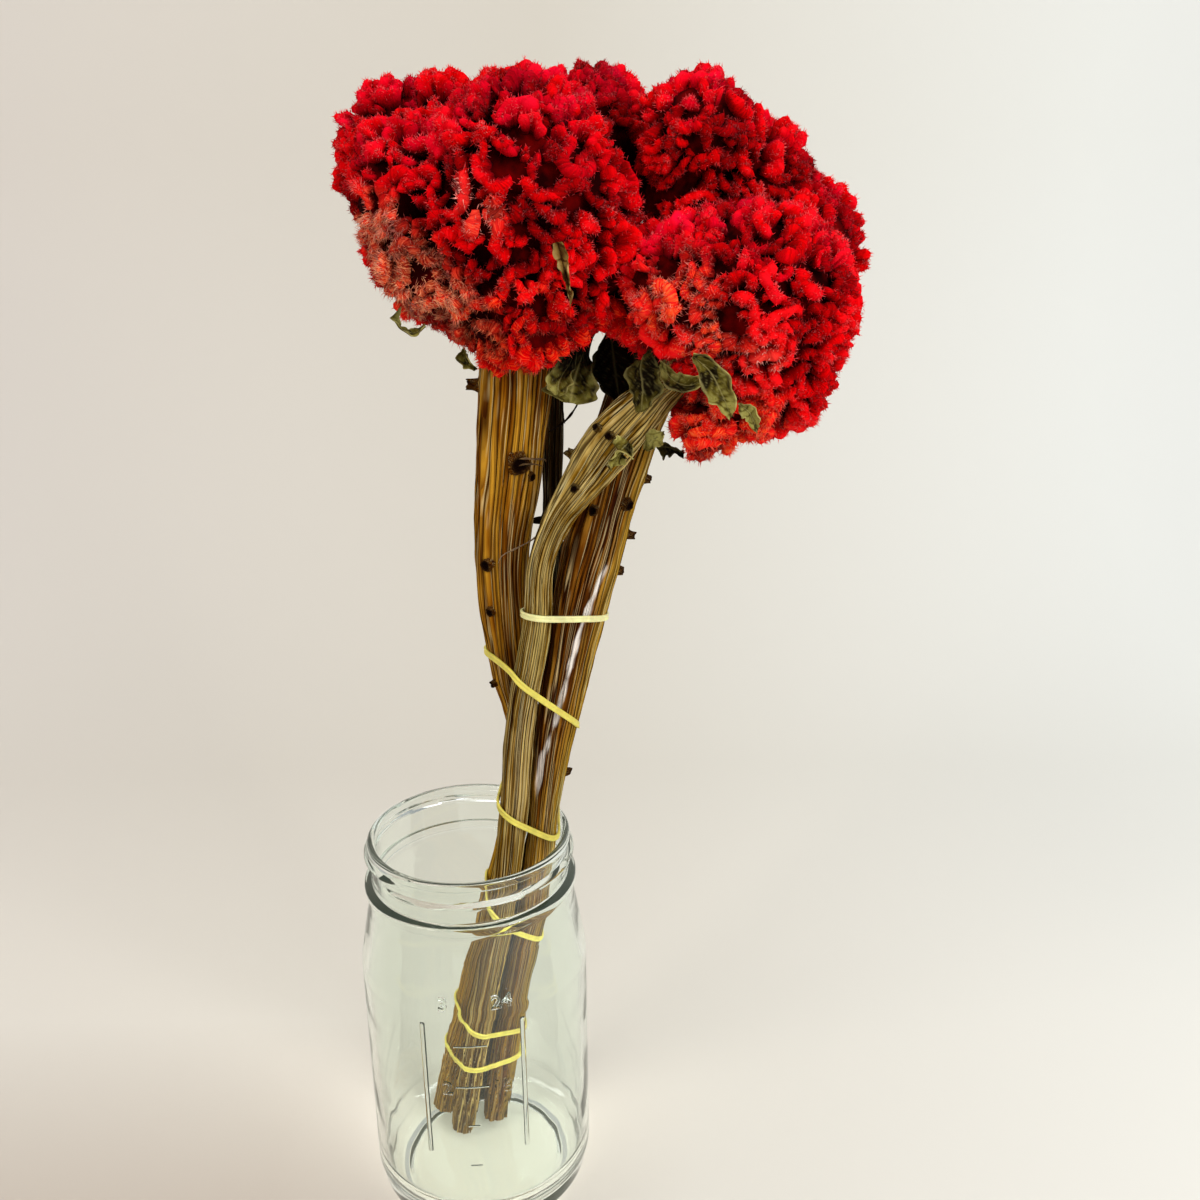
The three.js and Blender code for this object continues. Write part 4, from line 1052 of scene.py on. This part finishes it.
def make_band(name, material):
    """A flat rubber band with a worn groove, pulled tight round its stems."""
    steps = BAND["steps"]
    loop = band_loop(*BANDS[name], steps)
    loop = (np.roll(loop, 1, 0) + 2 * loop + np.roll(loop, -1, 0)) / 4
    ahead = unit(np.roll(loop, -1, 0) - np.roll(loop, 1, 0))
    up = unit(np.array([0, 0, 1]) - ahead[:, 2:] * ahead)
    out = np.cross(ahead, up)

    def place(u, v):
        k = np.round(v * steps).astype(int) % steps
        angle = u * TURN + 0.5 * np.sin(v * TURN * 2)
        c, s = np.cos(angle), np.sin(angle)
        boxy = 1 / (c**4 + s**4) ** 0.25
        sunk = BAND["groove"] * np.exp(-((s / 0.3) ** 2)) * (c > 0)
        side = (boxy * c * BAND["thickness"] / 2 - sunk)[:, None] * out[k]
        rise = (boxy * s * BAND["width"] / 2)[:, None] * up[k]
        return loop[k] + side + rise, {}

    mesh = wrapped(BAND["round"], steps, place, name)
    finished(mesh, name + "_rubber", material, [name], sharp=60)


# ---------------------------------------------------------------- flower heads

def tints(points, normals):
    """What the crest's finish reads at each point: how orange, dry and pale it is, and the painted skylight
    that turns it magenta where it faces up.
    """
    warm, dry, pale = np.zeros(len(points)), np.zeros(len(points)), np.zeros(len(points))
    for centre, radius, orange, tan, faded in PATCHES:
        near = eased(1.5 - np.linalg.norm(points - np.array(centre), axis=1) / radius)
        warm = np.maximum(warm, orange * near)
        dry = np.maximum(dry, tan * near)
        pale = np.maximum(pale, faded * near)
    # Painted skylight: faces that look up are tinted magenta.
    painted_skylight = eased(0.1 + 0.95 * normals[:, 2])
    return {"painted_skylight": painted_skylight, "warm": warm, "dry": dry, "pale": pale}


def lobe_distance(points, lobe):
    """About how far points are outside a lobe, negative inside it."""
    share = (points - np.array(lobe[0])) / np.array(lobe[1])
    near = np.linalg.norm(share, axis=-1)
    slope = np.linalg.norm(share / np.array(lobe[1]), axis=-1)
    return near * (near - 1) / np.maximum(slope, 1e-6)


def head_distance(points, name):
    """The same for a whole head, the hollows between its lobes rounded out."""
    far = lobe_distance(points, HEADS[name][0])
    for lobe in HEADS[name][1:]:
        other = lobe_distance(points, lobe)
        overlap = np.maximum(BLEND - np.abs(far - other), 0) / BLEND
        far = np.minimum(far, other) - overlap**2 * BLEND / 4
    return far


def out_of_head(points, name):
    """The direction straight out of a head at each point."""
    steps = 0.1 * np.eye(3)
    slopes = [head_distance(points + step, name) - head_distance(points - step, name) for step in steps]
    return unit(np.stack(slopes, -1))


class Ruffles:
    """The ruffled crests of one head: cupped fans that stand out of its core, rims up."""

    def __init__(self, name, seed):
        self.rng = np.random.default_rng(seed)
        self.name = name
        found = self.spots()
        self.at = np.array([spot[0] for spot in found])
        self.size = np.array([spot[1] for spot in found])
        self.normal = out_of_head(self.at, name)
        count = self.count = len(found)
        # Which way each ruffle opens: with its neighbours, a little against the head's face, and by chance.
        face = unit(FACES[name])
        drift = np.stack([wander(self.at, 12, seed + i) for i in (1, 2, 3)], 1)
        out = 3 * drift - 0.35 * face + 0.4 * self.rng.normal(size=(count, 3))
        self.out = square_to(self.normal, out)
        self.beside = np.cross(self.normal, self.out)
        self.half_arc = self.rng.uniform(*RUFFLE["half_arc"], count)
        self.half_wall = RUFFLE["half_wall"] * self.rng.uniform(0.7, 1.3, count) * (0.5 + 0.5 * self.size)
        # How far each stands out of the head: the crest lies in lumps with hollows between them.
        lump = wander(self.at, 9, seed + 7)
        self.rise = RUFFLE["lumps"] * lump + 1.5 * (self.size - 0.95) + self.rng.uniform(-1, 1, count)
        # How deep each lies among the lumps; the finish paints it darker there, painted shade.
        self.depth = eased(0.5 - 1.6 * lump)
        self.rise -= np.array([spot[2] for spot in found])
        self.lean = self.rng.uniform(0, RUFFLE["lean"], count)
        self.phase = self.rng.uniform(0, TURN, (count, 4))
        # How much of each tint a ruffle takes, and how dry and how long in the fringe that makes it.
        marks = tints(self.at, self.normal)
        self.share = {
            "painted_skylight": self.rng.uniform(0.3, 1, count), "warm": self.rng.random(count) ** 0.7,
            "dry": eased(self.rng.random(count) * 2.2), "pale": np.ones(count),
        }
        self.dry = marks["dry"] * self.share["dry"]
        self.long = np.clip(self.dry + 0.8 * marks["pale"] + 0.5 * marks["warm"], 0, 1)
        self.rise -= 1.6 * self.dry

    def spots(self):
        """Where the ruffles stand, how large each is and how deep it sits: large ones first, on a spiral over
        each lobe, then smaller ones in the gaps."""
        found, places = [], np.empty((0, 3))
        for gap, smallest, largest, deep in RUFFLE_SIZES:
            for index, (centre, half) in enumerate(HEADS[self.name]):
                centre, half = np.array(centre, float), np.array(half, float)
                sides = [(half[i] * half[j]) ** 1.6 for i, j in ((0, 1), (0, 2), (1, 2))]
                area = 2 * TURN * (sum(sides) / 3) ** (1 / 1.6)
                count = round(area / (0.92 * RUFFLE["spacing"]) ** 2)
                start = self.rng.uniform(0, TURN)
                for i in range(count):
                    height = 1 - (2 * i + 1) / count
                    ring = math.sqrt(1 - height * height)
                    angle = start + i * GOLDEN_ANGLE + self.rng.uniform(-0.3, 0.3)
                    way = np.array([ring * math.cos(angle), ring * math.sin(angle), height])
                    at = centre + half * way
                    if self.buried(at, index):
                        continue
                    at = at - head_distance(at, self.name) * out_of_head(at, self.name)
                    if len(places) and np.linalg.norm(places - at, axis=1).min() < gap * RUFFLE["spacing"]:
                        continue
                    found.append((at, self.rng.uniform(smallest, largest), deep))
                    places = np.vstack([places, at])
        return found

    def buried(self, at, index):
        """Whether a spot on a lobe is inside another one, or past the place where two heads meet."""
        for other, lobe in enumerate(HEADS[self.name]):
            if other != index and lobe_distance(at, lobe) < -1.2:
                return True
        for first, second, point, way in CONTACTS:
            side = 1 if self.name == first else -1 if self.name == second else 0
            if side and (at - point) @ unit(way) * side > -0.5:
                return True
        dented, by, room = DENT
        return self.name == dented and any(lobe_distance(at, lobe) < room for lobe in HEADS[by])

    def place(self, k, across, roll):
        """Points on ruffle k: across from -1 to 1 along its arc, and roll from -1 at the root of its hollow
        side, over the rim at 0, to 1 at the root of its full side."""
        size, phase = self.size[k], self.phase[k]
        angle = across * self.half_arc[k]
        spot, rows = np.abs(roll), ("thick", "rounding", "wall")
        thick, rounding, wall = (np.interp(spot, PROFILE["down"], PROFILE[row]) for row in rows)
        up = 1 - wall
        half = self.half_wall[k]
        flare = RUFFLE["root"] + (RUFFLE["rim"] - RUFFLE["root"]) * (0.62 * up + 0.38 * up**3)
        wave = 1 + up * (0.2 * np.sin(2.2 * angle + phase[:, 0]) + 0.1 * np.sin(4.4 * angle + phase[:, 1]))
        ends = np.sqrt(np.maximum(1 - across**4, 0))
        knob = self.knob(k, across)
        knobs = 1 + 0.24 * knob + 0.08 * np.sin(11 * angle + phase[:, 1])
        radius = flare * wave * size + np.sign(roll) * half * thick * ends * knobs
        top = RUFFLE["reach"] + self.rise[k] + 0.8 * np.cos(angle) - 2.6 * across**4
        top = top + 0.5 * np.sin(2 * angle + phase[:, 2]) + 0.6 * knob
        height = top - half * ends * rounding - (RUFFLE["depth"] + top - half) * wall
        outwards = radius * (np.cos(angle) - 0.4) + self.lean[k] * up * up
        sideways = radius * np.sin(angle)
        return (
            self.at[k] + outwards[:, None] * self.out[k] + sideways[:, None] * self.beside[k]
            + height[:, None] * self.normal[k]
        )

    def knob(self, k, across):
        """A ruffle swells into knobs along its arc: 1 on a knob, -1 between two."""
        return np.sin(5.5 * across * self.half_arc[k] + self.phase[k, 3])

    def strand(self, k, across):
        """How far round its fan a point is, in millimetres, and different on every fan."""
        return 31.7 * k + across * self.half_arc[k] * RUFFLE["rim"]

    def marks(self, k, points):
        """The tints of points on the ruffles, each ruffle faded by its own share."""
        return {name: value * self.share[name][k] for name, value in tints(points, self.normal[k]).items()}

    def shade(self, k, across, roll):
        """What the finish reads as rise, painted shade: 1 at a rim, 0 at the root, less on ruffles that lie
        deep and more on the heads painted as more brightly lit.
        """
        down = np.interp(np.abs(roll), (0, 0.5, 0.75, 1), (1, 0.86, 0.5, 0))
        return PAINTED_LIGHT[self.name] * down * (1 - 0.38 * self.depth[k]) * (0.92 + 0.08 * self.knob(k, across))

    def fans(self):
        """All the fans as one mesh."""
        bm = bmesh.new()
        bmesh.ops.create_grid(bm, x_segments=RUFFLE["columns"], y_segments=RUFFLE["rows"], size=1)
        template = mesh_of(bm, "fan")
        flat = points_of(template)
        mesh = copies(template, self.count)
        k = np.repeat(np.arange(self.count), len(flat))
        across, roll = (np.tile(flat[:, i], self.count) for i in range(2))
        points = self.place(k, across, roll)
        move_points(mesh, points)
        # The rise mark is painted shade: dark down a ruffle's wall and on ruffles that lie deep.
        shade = self.shade(k, across, roll)
        marks = self.marks(k, points)
        marks["pale"] = marks["pale"] * 0.05 * shade
        marks["dry"] = marks["dry"] * 0.45
        mark_points(mesh, rise=shade, tip=np.zeros(len(k)), strand=self.strand(k, across), **marks)
        bm = bmesh.new()
        bm.from_mesh(mesh)
        return closed(bm, "fans")

    def core(self):
        """The smaller core that the fans stand out of, painted dark as the shade between them."""
        bm = bmesh.new()
        for centre, half in HEADS[self.name]:
            made = bmesh.ops.create_icosphere(bm, subdivisions=3, radius=1)["verts"]
            bmesh.ops.scale(bm, verts=made, vec=[CORE["share"] * x for x in half])
            bmesh.ops.translate(bm, verts=made, vec=centre)
        mesh = mesh_of(bm, "core")
        count = len(mesh.vertices)
        marks = ("rise", "tip", "strand", "painted_skylight", "warm", "dry", "pale")
        mark_points(mesh, **{name: np.full(count, CORE["rise"] if name == "rise" else 0.0) for name in marks})
        return mesh

    def sown(self):
        """Where the hairs stand: each one's ruffle, its place across and over the rim, how near it is to the
        ruffle's tuft, how lush that tuft is, how long the hair may grow and how far it is combed."""
        rng = self.rng
        lush = np.maximum(rng.random(self.count) ** 1.6, self.long)
        each = (FUZZ["least"] + (FUZZ["most"] - FUZZ["least"]) * lush) * np.clip(self.size, 0.4, 1) ** 2
        each = (each * (1 + 0.7 * self.dry)).astype(int)
        k = np.repeat(np.arange(self.count), each)
        total = len(k)
        # Most hairs stand anywhere on their ruffle, the rest in its tuft.
        tuft = rng.uniform(-1, 1, self.count)[k]
        loose = rng.random(total) < 0.7
        across = np.where(loose, rng.uniform(-1, 1, total), tuft + 0.22 * rng.normal(size=total))
        across = np.clip(across, -1, 1)
        tufted = np.exp(-(((across - tuft) / 0.3) ** 2))
        long = self.long[k] * rng.random(total) ** 0.5
        combed = self.dry[k] * (rng.random(total) < 0.8)
        roll = rng.uniform(-1, 1, total) * np.where(long > 0.35, 0.72, 0.6)
        return k, across, roll, tufted, lush[k], long, combed

    def ways(self, k, across, roll, combed):
        """Which way each hair points: out of its ruffle, or combed down over it where it has dried out."""
        normal = self.normal[k]
        along = self.place(k, across + 0.02, roll) - self.place(k, across - 0.02, roll)
        over = self.place(k, across, roll + 0.03) - self.place(k, across, roll - 0.03)
        way = unit(np.cross(over, along)) + 0.35 * normal
        flow = np.stack([wander(self.at, 11, seed) for seed in (61, 62, 63)], 1)[k] + (0, 0, -0.25)
        flow = square_to(normal, flow)
        free = (1 - 0.8 * combed)[:, None]
        way = unit(way) * free + (1.3 * combed)[:, None] * flow + (0.35 * combed)[:, None] * normal
        return unit(unit(way) + 0.3 * self.rng.normal(size=(len(k), 3)))

    def hairs(self):
        """The fringe on the rims: short tapering hairs, longer and combed where the head has dried out."""
        bm = bmesh.new()
        bmesh.ops.create_cone(bm, segments=FUZZ["sides"], radius1=1, radius2=0, depth=1, cap_ends=True)
        template = closed(bm, "hair")
        flat = points_of(template)
        k, across, roll, tufted, lush, long, combed = self.sown()
        root, way = self.place(k, across, roll), self.ways(k, across, roll, combed)
        rng, total = self.rng, len(k)
        # Each hair is the template, stretched from its root along its way.
        length = FUZZ["length"] * rng.uniform(0.5, 1.25, total) * (1 + 0.9 * long + 0.5 * combed)
        radius = FUZZ["radius"] * rng.uniform(0.75, 1.3, total)
        aside = unit(np.cross(way, self.normal[k] + 0.01))
        around = np.cross(way, aside)
        rise = (flat[:, 2] - flat[:, 2].min()) / np.ptp(flat[:, 2])
        points = (
            root[:, None] + (length[:, None] * (rise - 0.2))[..., None] * way[:, None]
            + (radius[:, None] * flat[:, 0])[..., None] * aside[:, None]
            + (radius[:, None] * flat[:, 1])[..., None] * around[:, None]
        )
        mesh = copies(template, total)
        move_points(mesh, points.reshape(-1, 3))
        # What the finish reads: bright tips, brightest in the tufts, dimmer deep in a hollow as painted shade.
        bright = rng.random(total) ** 1.2 * (0.45 + 0.55 * tufted * lush) * (1 - 0.6 * self.depth[k])
        marks = self.marks(k, root)
        marks["pale"] = marks["pale"] * rng.random(total) ** 0.6
        marks["warm"] = np.clip(marks["warm"] + 0.25 * rng.random(total) * bright, 0, 1)
        marks = {name: np.repeat(values, len(flat)) for name, values in marks.items()}
        strength = np.repeat(bright, len(flat)) * np.tile(0.15 + 0.85 * rise, total)
        strand = np.repeat(self.strand(k, across) + rng.uniform(-2, 2, total), len(flat))
        shade = np.repeat(self.shade(k, across, roll), len(flat))
        mark_points(mesh, rise=shade, tip=strength, strand=strand, **marks)
        return mesh


def make_head(name, seed, material):
    """A flower head in two pieces: its crest of ruffles and the fringe of hairs on them."""
    ruffles = Ruffles(name, seed)
    short = name.replace("head_", "")
    finished(joined("crest", [ruffles.core(), ruffles.fans()]), "crest_" + short, material, [name])
    finished(ruffles.hairs(), "fringe_" + short, material, [name])


# ---------------------------------------------------------------- leaves

def make_leaf(name, material):
    """A dried leaf: folded along its rib, waved and crumpled, with a ragged edge and raised veins."""
    rib, side, width, fold, wave, wide, brown = LEAVES[name]
    line = Line(rib)
    bulge = math.log(0.5) / math.log(wide)
    seed = len(name) + width

    def place(u, v):
        across = 2 * v - 1
        edge = np.abs(across)
        ahead = unit(line.at(u, slope=True))
        spread = square_to(ahead, np.array(side))
        face = np.cross(ahead, spread)
        half = width * (0.1 + 0.9 * np.sin(math.pi * (0.02 + 0.96 * u) ** bulge))
        flat = np.stack([u * 9, np.sign(across) * 5, np.full(len(u), seed)], 1)
        half = half * (1 + 0.22 * edge * wander(flat, 1, seed) + 0.08 * np.sin(26 * u + 3 * across) * edge)
        sides = np.abs((u * 6 - 2.2 * edge) % 1 - 0.5) * 2
        vein = np.maximum(eased(1 - edge / 0.08), 0.7 * eased((sides - 0.82) / 0.18) * (1 - 0.5 * edge))
        curl = 1.4 * wave * (np.sin(9 * u + 2 * across) + 0.5 * np.sin(19 * u + 5 * across)) * edge**2
        base = line.at(u) + (across * half * math.cos(fold))[:, None] * spread
        crease = np.abs(wander(base, 3.2, seed + 1))
        crumple = 1.2 * wander(base, 5, seed + 2) + 2.2 * crease + 0.4 * wander(base, 1.5, seed + 3)
        crumple = crumple * min(1, width / 6)
        height = edge * half * math.sin(fold) + curl + (0.35 + 0.65 * edge) * crumple + 0.3 * vein
        points = base + height[:, None] * face
        rim = 1.1 * eased((edge - 0.8) / 0.16) * (0.3 + 0.7 * np.sin(7 * u + seed) ** 2)
        fold_line = 0.25 * eased(1 - crease / 0.05)
        age_and_shade = np.clip(brown[0] + (brown[1] - brown[0]) * eased((u - 0.35) / 0.5), 0, 1)
        marks = {"vein": np.clip(vein + rim + fold_line, 0, 1) * (1 - 0.85 * age_and_shade), "age_and_shade": age_and_shade}
        # The light mark lifts the tips and edges of green leaves and is painted lower beside the creases,
        # painted shade.
        marks["light"] = 0.12 * (1 - age_and_shade) * eased(u) - 0.08 + 0.05 * wander(base, 4, seed + 4)
        marks["light"] += 0.16 * (edge - 0.6) * (1 - age_and_shade) - 0.16 * eased(1 - crease / 0.22)
        return points, {**marks, "tan": np.full(len(u), float(brown[0] < 0))}

    mesh = blade(LEAF["along"], LEAF["across"], LEAF["thickness"], place, name)
    finished(mesh, name + "_blade", material, [name], sharp=80)


# ---------------------------------------------------------------- the whole object

make_camera()
make_stage()
light_scene()

make_jar(glass_finish())

for stem, colours in BARK_COLOURS.items():
    make_stem(stem, stem_finish(*colours))

yellow = rubber_finish("yellow_rubber", (0.78, 0.66, 0.1))
pale = rubber_finish("pale_rubber", (0.84, 0.8, 0.36))
for band in BANDS:
    make_band(band, pale if band == "band_pair" else yellow)

leaf_skin = leaf_finish()
for leaf in LEAVES:
    make_leaf(leaf, leaf_skin)

velvet = crest_finish()
for seed, head in enumerate(HEADS, FIRST_SEED):
    make_head(head, seed, velvet)
